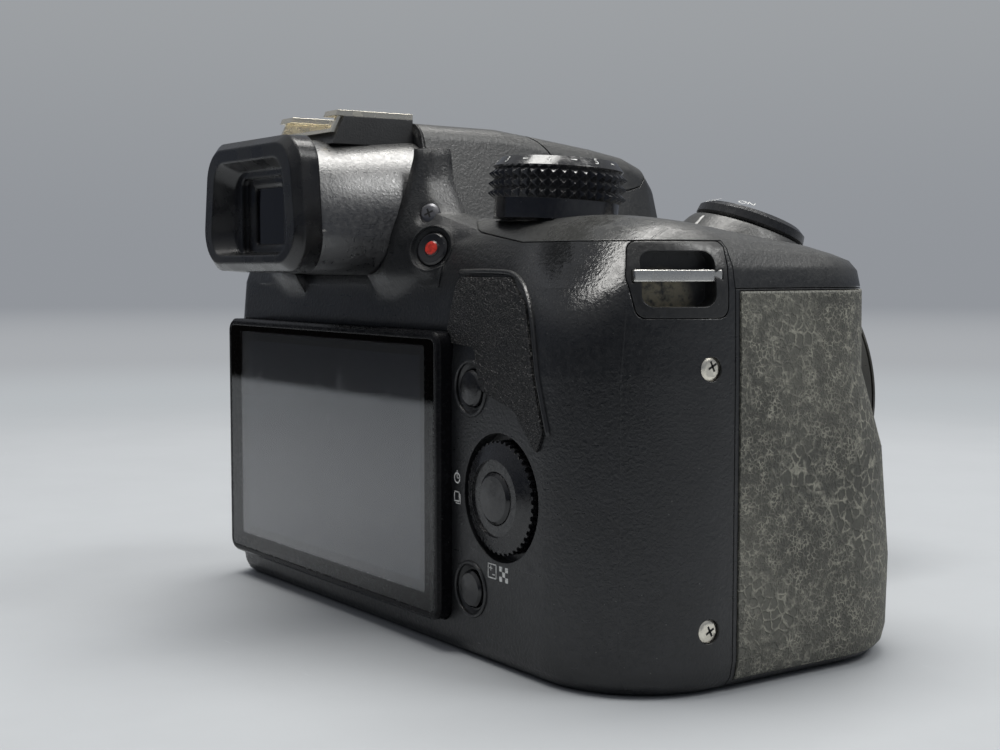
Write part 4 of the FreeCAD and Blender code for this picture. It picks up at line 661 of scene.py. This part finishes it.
# Mode dial, power switch and other controls: black mouldings with crisp edges. The dial is the
# glossiest, and its crown is 28 % lower than in the CAD model, to follow the photograph.
control_black = (0.008, 0.008, 0.009)
control_rubbed = (0.05, 0.05, 0.05)
dial_centre = Vector((-0.0476, 0.0153, 0.0720))
dial_lean = math.radians(3.3)
dial_normal = Vector((0.0, -math.sin(dial_lean), math.cos(dial_lean)))
dial_crown_foot = 0.0072
dial_crown_share = 0.72
dial_finish = moulded_black(
    "dial_gloss", control_black, rubbed=control_rubbed, grain=(3400.0, 0.000006),
    roughness=0.20, edge=0.00005, specular=1.0,
)
dress(dial_finish, "mode_dial")
for vertex in bpy.data.objects["mode_dial_skin"].data.vertices:
    above = (vertex.co - dial_centre).dot(dial_normal) - dial_crown_foot
    if above > 0.0:
        vertex.co -= dial_normal * above * (1.0 - dial_crown_share)
control_finish = moulded_black(
    "control_black", control_black, rubbed=control_rubbed, grain=(3400.0, 0.00001),
    roughness=0.27, edge=0.00008, specular=0.7,
)
dress(control_finish, "power_ring", "finder_button", "flash_button", "control_wheel")
dress(control_finish, "battery_latch", "lens_release_button")

# White print on the controls: numbers and strokes round the bevel of the dial's crown, and ON
# and OFF on the power ring's. A bevel is given as radius and height, with its slope.
dial_marks = ["1", "2", "3", "4", "5", "6", "7", "8"]
dial_mark_height = 0.0012
dial_stroke = [("bar", -0.5, 0.5, -0.11, 0.11)]
dial_bevel = (0.01003, 0.00792)
dial_bevel_slope = (-0.00125, 0.00144)
power_marks = {"ON": 128.0, "OFF": 84.0}
power_mark_height = 0.0013
ring_centre = Vector((-0.0629, -0.0134, 0.0699))
ring_lean = math.radians(20.0)
ring_normal = Vector((0.0, -math.sin(ring_lean), math.cos(ring_lean)))
ring_bevel = (0.00852, 0.00143)
ring_bevel_slope = (-0.0010, 0.0007)


def printed_ink(name, colour, roughness=0.5):
    """Paint that has worn thin in places."""
    finish, tree, shader, place = new_finish(name, colour, roughness)
    wear = levels(tree, cloud(tree, place, scale=1800.0, roughness=0.6), 0.35, 0.6)
    worn = tint(tree, wear, shaded(colour, 0.55), colour)
    tree.links.new(worn, shader.inputs["Base Color"])
    return finish


def laid_on(shape, centre, across, upward, lift=0.00003):
    """Moves a flat shape from the XY plane to a face, given its middle and two directions on it."""
    across = Vector(across).normalized()
    outward = across.cross(Vector(upward)).normalized()
    turn = Matrix((across, outward.cross(across), outward)).transposed().to_4x4()
    turn.translation = Vector(centre) + outward * lift
    bmesh.ops.transform(shape, matrix=turn, verts=shape.verts)
    return shape


def printed_word(word, height):
    """Flat letters of a height in metres, centred on the origin."""
    letters = bpy.data.curves.new(word, "FONT")
    letters.body = word
    letters.size = height * 1.4
    letters.align_x = "CENTER"
    letters.align_y = "CENTER"
    holder = bpy.data.objects.new(word, letters)
    scene.collection.objects.link(holder)
    mesh = bpy.data.meshes.new_from_object(holder)
    shape = bmesh.new()
    shape.from_mesh(mesh)
    bpy.data.objects.remove(holder)
    bpy.data.meshes.remove(mesh)
    bpy.data.curves.remove(letters)
    return shape


def flat_marks(strokes, ring_steps=32):
    """Flat shape of ("bar", left, right, low, high) and ("ring", u, v, inner, outer), in mm."""
    shape = bmesh.new()
    for kind, a, b, c, d in strokes:
        if kind == "bar":
            corners = [(a, c), (b, c), (b, d), (a, d)]
            shape.faces.new([shape.verts.new((u / 1000, v / 1000, 0.0)) for u, v in corners])
            continue
        loops = []
        for radius in (c, d):
            loop = []
            for step in range(ring_steps):
                angle = 2 * math.pi * step / ring_steps
                spot = (a + radius * math.cos(angle), b + radius * math.sin(angle), 0.0)
                loop.append(shape.verts.new(Vector(spot) / 1000))
            loops.append(loop)
        inner, outer = loops
        for step in range(ring_steps):
            after = (step + 1) % ring_steps
            shape.faces.new((inner[step], outer[step], outer[after], inner[after]))
    return shape


def on_bevel(shape, centre, normal, angle_deg, bevel, slope, lift=0.00007):
    """Lays a flat shape on a cone round an axis, at an angle round it."""
    angle = math.radians(angle_deg)
    outward = Vector((math.cos(angle), math.sin(angle), 0.0))
    outward.rotate(Vector((0.0, 0.0, 1.0)).rotation_difference(normal))
    spot = centre + outward * bevel[0] + normal * bevel[1]
    rising = outward * slope[0] + normal * slope[1]
    return laid_on(shape, spot, normal.cross(outward), rising, lift)


white_ink = printed_ink("white_print", (0.72, 0.72, 0.70))
dial_step_deg = 360.0 / len(dial_marks)
for index, number in enumerate(dial_marks):
    for kind, shape, steps in (
        ("number", printed_word(number, dial_mark_height), index),
        ("stroke", flat_marks(dial_stroke), index + 0.5),
    ):
        angle_deg = steps * dial_step_deg
        on_bevel(shape, dial_centre, dial_normal, angle_deg, dial_bevel, dial_bevel_slope)
        fit_piece(shape, "dial_" + kind + "_" + number, "mode_dial", white_ink)
for word, angle_deg in power_marks.items():
    shape = printed_word(word, power_mark_height)
    on_bevel(shape, ring_centre, ring_normal, angle_deg, ring_bevel, ring_bevel_slope, 0.00011)
    fit_piece(shape, "power_mark_" + word, "power_ring", white_ink)

# The white index line of the power switch is printed on the collar of the top cover. It runs
# outwards from the ring, and its points follow the collar's slope.
index_line_sides = (-0.0629, -0.0623)
index_line_start = -0.0034
index_line_length = 0.0026
index_line_steps = 8
index_line_lift = 0.00004
above_z = 0.1
downwards = Vector((0.0, 0.0, -1.0))
index_line = bmesh.new()
index_pairs = []
for step in range(index_line_steps + 1):
    along = index_line_start + index_line_length * step / index_line_steps
    pair = []
    for side in index_line_sides:
        point, normal = surface_at("top_cover", (side, along, above_z), downwards)
        pair.append(index_line.verts.new(point + normal * index_line_lift))
    index_pairs.append(pair)
for near, far in zip(index_pairs, index_pairs[1:]):
    index_line.faces.new((near[0], far[0], far[1], near[1]))
bmesh.ops.recalc_face_normals(index_line, faces=index_line.faces)
fit_piece(index_line, "power_index_line", "top_cover", white_ink)

# Shutter button: a dished metal cap with a dark coat, in the middle of the power ring. The finger
# has polished it and worn its edge pale.
shutter_finish = moulded_black(
    "shutter_cap", colour=(0.018, 0.018, 0.019), rubbed=(0.08, 0.08, 0.08),
    grain=(3400.0, 0.00001), roughness=0.26, edge=0.0003,
)
dress(shutter_finish, "shutter_button")

# Small keys: glossy black caps, each in its own hole. A low ring goes round the two soft keys,
# and the movie button has a red dot moulded into its middle. Profiles are (radius, height) in mm.
rear_face_y = 0.0305
key_ring_profile = [(4.05, -0.2), (4.05, 0.18), (4.2, 0.30), (4.5, 0.30)]
key_ring_profile += [(4.65, 0.15), (4.65, -0.2)]
key_x = -0.0452
key_heights = {"upper": 0.0440, "lower": 0.0114}
movie_centre = Vector((-0.0306, 0.0284, 0.0664))
movie_normal = Vector((-0.46, 0.84, 0.28)).normalized()
movie_dot_profile = [(0.0, 0.3), (1.15, 0.3), (1.15, 0.62), (1.0, 0.74), (0.0, 0.80)]
movie_red = (0.60, 0.035, 0.02)
spun_crease_deg = 35.0


def spun(profile, centre, axis, steps=64):
    """Solid of revolution through (radius, height) pairs in millimetres, about an axis."""
    shape = bmesh.new()
    points = [shape.verts.new((radius / 1000, 0.0, height / 1000)) for radius, height in profile]
    lines = [shape.edges.new(pair) for pair in zip(points, points[1:] + points[:1])]
    bmesh.ops.spin(
        shape, geom=points + lines, cent=(0.0, 0.0, 0.0), axis=(0.0, 0.0, 1.0),
        angle=2 * math.pi, steps=steps, use_merge=True,
    )
    bmesh.ops.remove_doubles(shape, verts=shape.verts, dist=1e-7)
    bmesh.ops.recalc_face_normals(shape, faces=shape.faces)
    turn = Vector((0.0, 0.0, 1.0)).rotation_difference(Vector(axis)).to_matrix().to_4x4()
    turn.translation = Vector(centre)
    bmesh.ops.transform(shape, matrix=turn, verts=shape.verts)
    for face in shape.faces:
        face.smooth = True
    keep_creases(shape, spun_crease_deg)
    return shape


key_finish = moulded_black(
    "key_gloss", control_black, rubbed=control_rubbed, grain=(3400.0, 0.000008), roughness=0.20,
    edge=0.0002,
)
dress(key_finish, "upper_soft_key", "lower_soft_key", "centre_button", "movie_button")
for name, key_z in key_heights.items():
    ring = spun(key_ring_profile, (key_x, rear_face_y, key_z), rearward)
    fit_piece(ring, name + "_key_ring", "rear_cover", cover_finish)
dot = spun(movie_dot_profile, movie_centre, movie_normal)
record_red = printed_ink("record_red", movie_red, roughness=0.25)
fit_piece(dot, "movie_dot", "movie_button", record_red)

# Small signs printed beside the keys, in millimetres round their middles: a timer and a stack of
# frames left of the wheel, and a plus and minus and a grid of fields right of the lower key.
field = 0.8
field_grid = 3
timer = [("ring", 0.0, 0.0, 0.68, 0.92), ("bar", -0.12, 0.12, 0.0, 0.62)]
timer += [("bar", -0.12, 0.12, 0.9, 1.25), ("bar", 0.0, 0.5, -0.12, 0.12)]
frames = [("bar", -0.9, -0.7, -0.6, 0.9), ("bar", 0.5, 0.7, -0.6, 0.9)]
frames += [("bar", -0.9, 0.7, 0.7, 0.9), ("bar", -0.9, 0.7, -0.8, -0.6)]
frames += [("bar", -0.5, 1.0, -1.15, -0.98), ("bar", 0.86, 1.02, -1.1, 0.5)]
plus_minus = [("bar", -1.2, -1.0, -1.2, 1.2), ("bar", 1.0, 1.2, -1.2, 1.2)]
plus_minus += [("bar", -1.2, 1.2, 1.0, 1.2), ("bar", -1.2, 1.2, -1.2, -1.0)]
plus_minus += [("bar", -0.75, 0.05, 0.35, 0.53), ("bar", -0.44, -0.26, 0.04, 0.84)]
plus_minus += [("bar", 0.0, 0.75, -0.62, -0.44)]
fields = []
for column in range(field_grid):
    for row in range(field_grid):
        if (column + row) % 2 == 0:
            left = (column - field_grid / 2) * field
            low = (row - field_grid / 2) * field
            fields.append(("bar", left, left + field, low, low + field))
signs = {
    "timer": (timer, (-0.0413, 0.0291)),
    "frames": (frames, (-0.0413, 0.0260)),
    "plus_minus": (plus_minus, (-0.0514, 0.0154)),
    "fields": (fields, (-0.0546, 0.0153)),
}
for name, (strokes, (sign_x, sign_z)) in signs.items():
    point, normal = surface_at("rear_cover", (sign_x, behind_y, sign_z), -rearward)
    sign = laid_on(flat_marks(strokes), point, across=(-1.0, 0.0, 0.0), upward=(0.0, 0.0, 1.0))
    fit_piece(sign, name + "_sign", "rear_cover", white_ink)

# Strap lugs: flat steel bars across moulded recesses that have gathered dust. Each lug is given
# by the middle of its cover's face, the direction along the bar and the one that faces out.
lug_turn = math.radians(21.8)
turned_along = (math.sin(lug_turn), math.cos(lug_turn))
turned_outward = (-math.cos(lug_turn), math.sin(lug_turn))
lug_places = [
    ((-0.0807, 0.0176), turned_along, turned_outward),
    ((0.0445, 0.0176), (0.0, 1.0), (1.0, 0.0)),
]
lug_half = (0.0068, 0.00075, 0.0009)
lug_z = 0.0621
lug_depth = 0.0011
lug_round = 0.00025
lug_crumb_spot = (-0.0750, 0.0172, 0.0578)
bars = bmesh.new()
for (face_x, face_y), along, outward in lug_places:
    made = bmesh.ops.create_cube(bars, size=2.0)["verts"]
    turn = Matrix(((along[0], outward[0], 0.0), (along[1], outward[1], 0.0), (0.0, 0.0, 1.0)))
    turn = turn.to_4x4()
    turn.translation = (face_x - outward[0] * lug_depth, face_y - outward[1] * lug_depth, lug_z)
    bmesh.ops.scale(bars, vec=lug_half, verts=made)
    bmesh.ops.transform(bars, matrix=turn, verts=made)
bmesh.ops.recalc_face_normals(bars, faces=bars.faces)
bmesh.ops.bevel(
    bars, geom=bars.edges[:], offset=lug_round, segments=3, profile=0.5, affect="EDGES",
    material=-1,
)
for face in bars.faces:
    face.smooth = True
lug_steel = bare_metal("lug_steel", (0.66, 0.65, 0.62), roughness=0.20, dirt=0.5)
stand_in(bars, "strap_lugs", lug_steel)
insert_finish = moulded_black(
    "lug_insert", colour=(0.013, 0.013, 0.013), grain=(2400.0, 0.00004), roughness=0.36,
    crumb_spot=lug_crumb_spot,
)
dress(insert_finish, "lug_inserts")

# Base and side: the battery door closes the base. Behind the doors and the lens mount, the
# battery, the card, the sockets' panel, the contacts and the shutter are dull and dark.
casing = moulded_black(
    "battery_case", colour=(0.020, 0.020, 0.022), rubbed=(0.05, 0.05, 0.05),
    grain=(2000.0, 0.00002), roughness=0.5,
)
dress(base_finish, "battery_door")
dress(casing, "battery", "memory_card", "port_panel", "body_contacts", "shutter_unit")

# Inside: a frame cast in light alloy, and the sensor and circuit boards, whose tracks show as
# paler lines under green lacquer.
board_green = (0.01, 0.07, 0.03)
track_green = (0.03, 0.16, 0.07)
cast_frame = bare_metal("cast_frame", (0.50, 0.51, 0.52), roughness=0.45, drawn=(1.0, 1.0, 1.0))
dress(cast_frame, "chassis")
board_finish, tree, shader, place = new_finish("circuit_board", board_green, 0.35)
tracks = levels(tree, cells(tree, place, 260.0, "DISTANCE_TO_EDGE"), 0.02, 0.05)
tree.links.new(tint(tree, tracks, track_green, board_green), shader.inputs["Base Color"])
dress(board_finish, "main_board", "sensor_unit")

# Lens mount: a turned steel ring held by countersunk screws. Beside it is the small red window of
# the autofocus lamp.
mount_steel = bare_metal(
    "mount_steel", (0.68, 0.67, 0.64), roughness=0.28, drawn=(12.0, 1.0, 12.0)
)
dress(mount_steel, "mount_ring", "lens_mount", "mount_screws")
dress(clear_pane("lamp_window", (0.85, 0.25, 0.12), 0.08, specular=0.5), "af_lamp_window")

# Cover screws: nickel-plated cross-head screws in the side, and a blackened one in the flank
# beside the movie button. Their crosses are turned as the hand left them.
side_screw_place = (-0.0832, 0.0133)
side_screw_heights = (0.0489, 0.0097)
flank_screw = Vector((-0.0264, 0.0266, 0.0726))
flank_screw_reach = 0.005
cross_slope = 0.5
cross_lift = 0.00002
cross = [("bar", -0.85, 0.85, -0.17, 0.17), ("bar", -0.17, 0.17, -0.85, 0.85)]
dress(bare_metal("screw_nickel", (0.80, 0.76, 0.66), roughness=0.30), "cover_screws")
screws = bpy.data.objects["cover_screws_skin"].data
screws.materials.append(bare_metal("screw_blackened", (0.20, 0.20, 0.21), roughness=0.32))
for face in screws.polygons:
    if (face.center - flank_screw).length < flank_screw_reach:
        face.material_index = 1
slot_dark = printed_ink("screw_slot", (0.006, 0.006, 0.006), roughness=0.7)
screw_heads = [
    (Vector((*side_screw_place, height)), Vector((-1.0, 0.0, 0.0))) for height in side_screw_heights
]
screw_heads.append((flank_screw, movie_normal))
for index, (head, outward) in enumerate(screw_heads):
    level = Vector((0.0, 0.0, 1.0)).cross(outward).normalized()
    slanted = (level + outward.cross(level) * cross_slope).normalized()
    point, normal = surface_at("cover_screws", head + outward * 0.01, -outward)
    slot = laid_on(flat_marks(cross), point, slanted, outward.cross(slanted), cross_lift)
    fit_piece(slot, "screw_cross_" + str(index + 1), "cover_screws", slot_dark)

# Zoom lens: satin barrels, ribbed rubber zoom and focus rings, and coated glass. The front ring
# has a filter thread in its bore.
barrel_grey = (0.030, 0.029, 0.024)
barrel_rubbed = (0.08, 0.08, 0.07)
barrel_look = {"grain": (2600.0, 0.00003), "roughness": 0.38, "rubbed": barrel_rubbed}
lens_axis = Vector((0.0, 0.0, 0.0355))
thread_fades = (0.02475, 0.02455)
thread_band_scale = 419.0
thread_depth = 0.00035
coating_violet = (0.78, 0.72, 1.0)
barrel_finish = moulded_black("lens_barrel_satin", barrel_grey, **barrel_look)
dress(barrel_finish, "lens_barrel", "inner_barrel")
thread_finish = moulded_black("filter_ring_satin", barrel_grey, **barrel_look)
tree = thread_finish.node_tree
shader = tree.nodes["Principled BSDF"]
place = tree.nodes.new("ShaderNodeTexCoord").outputs["Object"]
flattened = tree.nodes.new("ShaderNodeVectorMath")
flattened.operation = "MULTIPLY"
flattened.inputs[1].default_value = (1.0, 0.0, 1.0)
tree.links.new(place, flattened.inputs[0])
in_bore = near_point(tree, flattened.outputs["Vector"], lens_axis, thread_fades[1], thread_fades[0])
turns = tree.nodes.new("ShaderNodeTexWave")
turns.bands_direction = "Y"
turns.inputs["Scale"].default_value = thread_band_scale
tree.links.new(place, turns.inputs["Vector"])
thread = product(tree, turns.outputs["Fac"], in_bore)
grained = shader.inputs["Normal"].links[0].from_socket
tree.links.new(relief(tree, thread, thread_depth, grained), shader.inputs["Normal"])
dress(thread_finish, "front_ring")
ring_finish = moulded_black(
    "lens_ring_rubber", colour=(0.016, 0.016, 0.016), rubbed=(0.05, 0.05, 0.05),
    grain=(2200.0, 0.00004), roughness=0.5,
)
dress(ring_finish, "zoom_ring", "focus_ring")
coated = clear_pane("coated_glass", (0.34, 0.36, 0.42), 0.005, 0.22, coating_violet)
dress(coated, "front_element", "rear_element")

# Marks on the lens: a white index line and a square mounting mark on top of the barrel, and a
# stroke for each stop on the zoom ring. Strokes are in millimetres, places along Y in metres.
index_mark = [("bar", -0.18, 0.18, -1.1, 1.1)]
mounting_mark = [("bar", -0.55, 0.55, -0.55, 0.55)]
zoom_mark = [("bar", -0.14, 0.14, -0.45, 0.45)]
zoom_stop_degs = (-6.0, 9.0, 22.0, 38.0, 54.0)
beside_lens = 0.06


def mark_lens(name, node, strokes, angle_deg, along):
    """Lays flat marks on a ring of the lens, at an angle from the top."""
    angle = math.radians(angle_deg)
    outward = Vector((math.sin(angle), 0.0, math.cos(angle)))
    start = lens_axis + outward * beside_lens + rearward * along
    point, _ = surface_at(node, start, -outward)
    mark = laid_on(flat_marks(strokes), point, outward.cross(rearward), rearward, lift=0.00004)
    fit_piece(mark, name, node, white_ink)


mark_lens("lens_index_line", "lens_barrel", index_mark, 0.0, along=-0.0310)
mark_lens("mounting_mark", "lens_barrel", mounting_mark, 0.0, along=-0.0262)
for index, angle_deg in enumerate(zoom_stop_degs):
    mark_lens("zoom_stroke_" + str(index + 1), "zoom_ring", zoom_mark, angle_deg, along=-0.0343)

# Table: a pale matt sheet, slightly mottled and scuffed. Further off it glows as if it curved up
# behind the camera body, and glossy pieces see it end behind the photographer.
table_radius = 6.0
table_drop = 0.0002
floor_colour = (0.435, 0.452, 0.470)
floor_scuff = (0.58, 0.60, 0.62)
sheet_bend = (0.475, 0.500, 0.520)
sheet_low = (0.400, 0.415, 0.435)
sheet_middle = (0.285, 0.300, 0.325)
sheet_top = (0.345, 0.360, 0.375)
sheet_end = (0.012, 0.011, 0.011)
lit_round = (0.26, 0.50)
bend_round = (0.45, 0.80)
low_round = (0.80, 2.4)
sheet_end_y = (0.255, 0.285)
table = bmesh.new()
bmesh.ops.create_circle(table, cap_ends=True, segments=96, radius=table_radius)
mesh = bpy.data.meshes.new("table")
table.to_mesh(mesh)
table.free()
table_piece = bpy.data.objects.new("table", mesh)
scene.collection.objects.link(table_piece)
table_piece.location = (0.0, 0.0, -table_drop)
table_finish, tree, shader, place = new_finish("table_paint", floor_colour, 0.5, specular=0.3)
mottle = levels(tree, cloud(tree, place, scale=30.0, detail=5.0, roughness=0.7), 0.3, 0.8)
paint = tint(tree, mottle, floor_colour, shaded(floor_colour, 0.96))
scuffed = cloud(tree, place, scale=60.0, roughness=0.6, stretch=(1.0, 9.0, 1.0))
scuffs = levels(tree, scuffed, 0.70, 0.76)
paint = tint(tree, product(tree, scuffs, 0.25), paint, floor_scuff)
tree.links.new(paint, shader.inputs["Base Color"])
far = tree.nodes.new("ShaderNodeVectorMath")
far.operation = "LENGTH"
tree.links.new(place, far.inputs[0])
far = far.outputs["Value"]
rays = tree.nodes.new("ShaderNodeLightPath")
past_end = levels(tree, part_of(tree, place, "Y"), *sheet_end_y)
unlit = product(tree, past_end, rays.outputs["Is Glossy Ray"])
fade = combine(tree, "MAXIMUM", levels(tree, far, *lit_round), unlit)
rise = tint(tree, levels(tree, far, *bend_round), sheet_bend, sheet_low)
rise = tint(tree, levels(tree, far, *low_round), rise, sheet_middle)
rise = tint(tree, unlit, rise, sheet_end)
glow = tree.nodes.new("ShaderNodeEmission")
tree.links.new(rise, glow.inputs["Color"])
blend = tree.nodes.new("ShaderNodeMixShader")
tree.links.new(fade, blend.inputs["Fac"])
tree.links.new(shader.outputs["BSDF"], blend.inputs[1])
tree.links.new(glow.outputs["Emission"], blend.inputs[2])
tree.links.new(blend.outputs["Shader"], tree.nodes["Material Output"].inputs["Surface"])
table_piece.data.materials.append(table_finish)

# Room: pale overhead, dimmer at eye height and darkest behind the photographer. The camera sees
# the upper part of the sheet instead.
room_side = (0.155, 0.170, 0.200)
room_back = (0.040, 0.050, 0.075)
room_top = (0.34, 0.35, 0.37)
world = bpy.data.worlds.new("soft_room")
scene.world = world
world.use_nodes = True
tree = world.node_tree
room = tree.nodes["Background"]
room.inputs["Strength"].default_value = 1.0
direction = tree.nodes.new("ShaderNodeTexCoord").outputs["Generated"]
walls = tint(tree, levels(tree, part_of(tree, direction, "Y"), 0.15, 0.75), room_side, room_back)
overhead = levels(tree, part_of(tree, direction, "Z"), 0.05, 0.75)
tree.links.new(tint(tree, overhead, walls, room_top), room.inputs["Color"])
seen = tree.nodes.new("ShaderNodeBackground")
upward = levels(tree, part_of(tree, direction, "Z"), 0.0, 0.22)
tree.links.new(tint(tree, upward, sheet_middle, sheet_top), seen.inputs["Color"])
rays = tree.nodes.new("ShaderNodeLightPath")
chosen = tree.nodes.new("ShaderNodeMixShader")
tree.links.new(rays.outputs["Is Camera Ray"], chosen.inputs["Fac"])
tree.links.new(room.outputs["Background"], chosen.inputs[1])
tree.links.new(seen.outputs["Background"], chosen.inputs[2])
tree.links.new(chosen.outputs["Shader"], tree.nodes["World Output"].inputs["Surface"])

# Light: one wide ceiling lamp overhead, and a weaker window high up on the lens side. Both are
# large, so the shadows are soft.
ceiling_place = (0.10, -0.05, 0.95)
ceiling_aim = (0.10, -0.05, 0.0)
window_place = (-0.50, -0.38, 0.80)
window_aim = (0.0, 0.0, 0.05)


def soft_box(name, place, aim, size, power, colour):
    """Square lamp at a place, turned towards a point."""
    lamp = bpy.data.lights.new(name, "AREA")
    lamp.shape = "RECTANGLE"
    lamp.size, lamp.size_y = size
    lamp.energy = power
    lamp.color = colour
    holder = bpy.data.objects.new(name, lamp)
    holder.location = place
    holder.rotation_euler = (Vector(aim) - Vector(place)).to_track_quat("-Z", "Y").to_euler()
    scene.collection.objects.link(holder)


soft_box("ceiling_light", ceiling_place, ceiling_aim, (0.42, 0.95), 11.0, (1.0, 0.985, 0.95))
soft_box("window_light", window_place, window_aim, (0.36, 0.36), 3.4, (1.0, 1.0, 0.98))

# Camera: placed to fit the photograph, 0.3 m from the body, behind its grip side and a little
# above the lens axis.
eye = Vector((-0.245214, 0.162604, 0.063303))
yaw = 0.96729
pitch = 0.07153
level_ahead = Vector((math.sin(yaw), -math.cos(yaw), 0.0))
forward = level_ahead * math.cos(pitch) + Vector((0.0, 0.0, -math.sin(pitch)))
right = Vector((-math.cos(yaw), -math.sin(yaw), 0.0))
up = right.cross(forward)
view = bpy.data.cameras.new("photograph")
view.sensor_width = 36.0
view.lens = 54.0
view.clip_start = 0.01
viewer = bpy.data.objects.new("photograph", view)
turned = Matrix((right, up, -forward)).transposed().to_4x4()
viewer.matrix_world = Matrix.Translation(eye) @ turned
scene.collection.objects.link(viewer)
scene.camera = viewer
scene.view_settings.view_transform = "Standard"
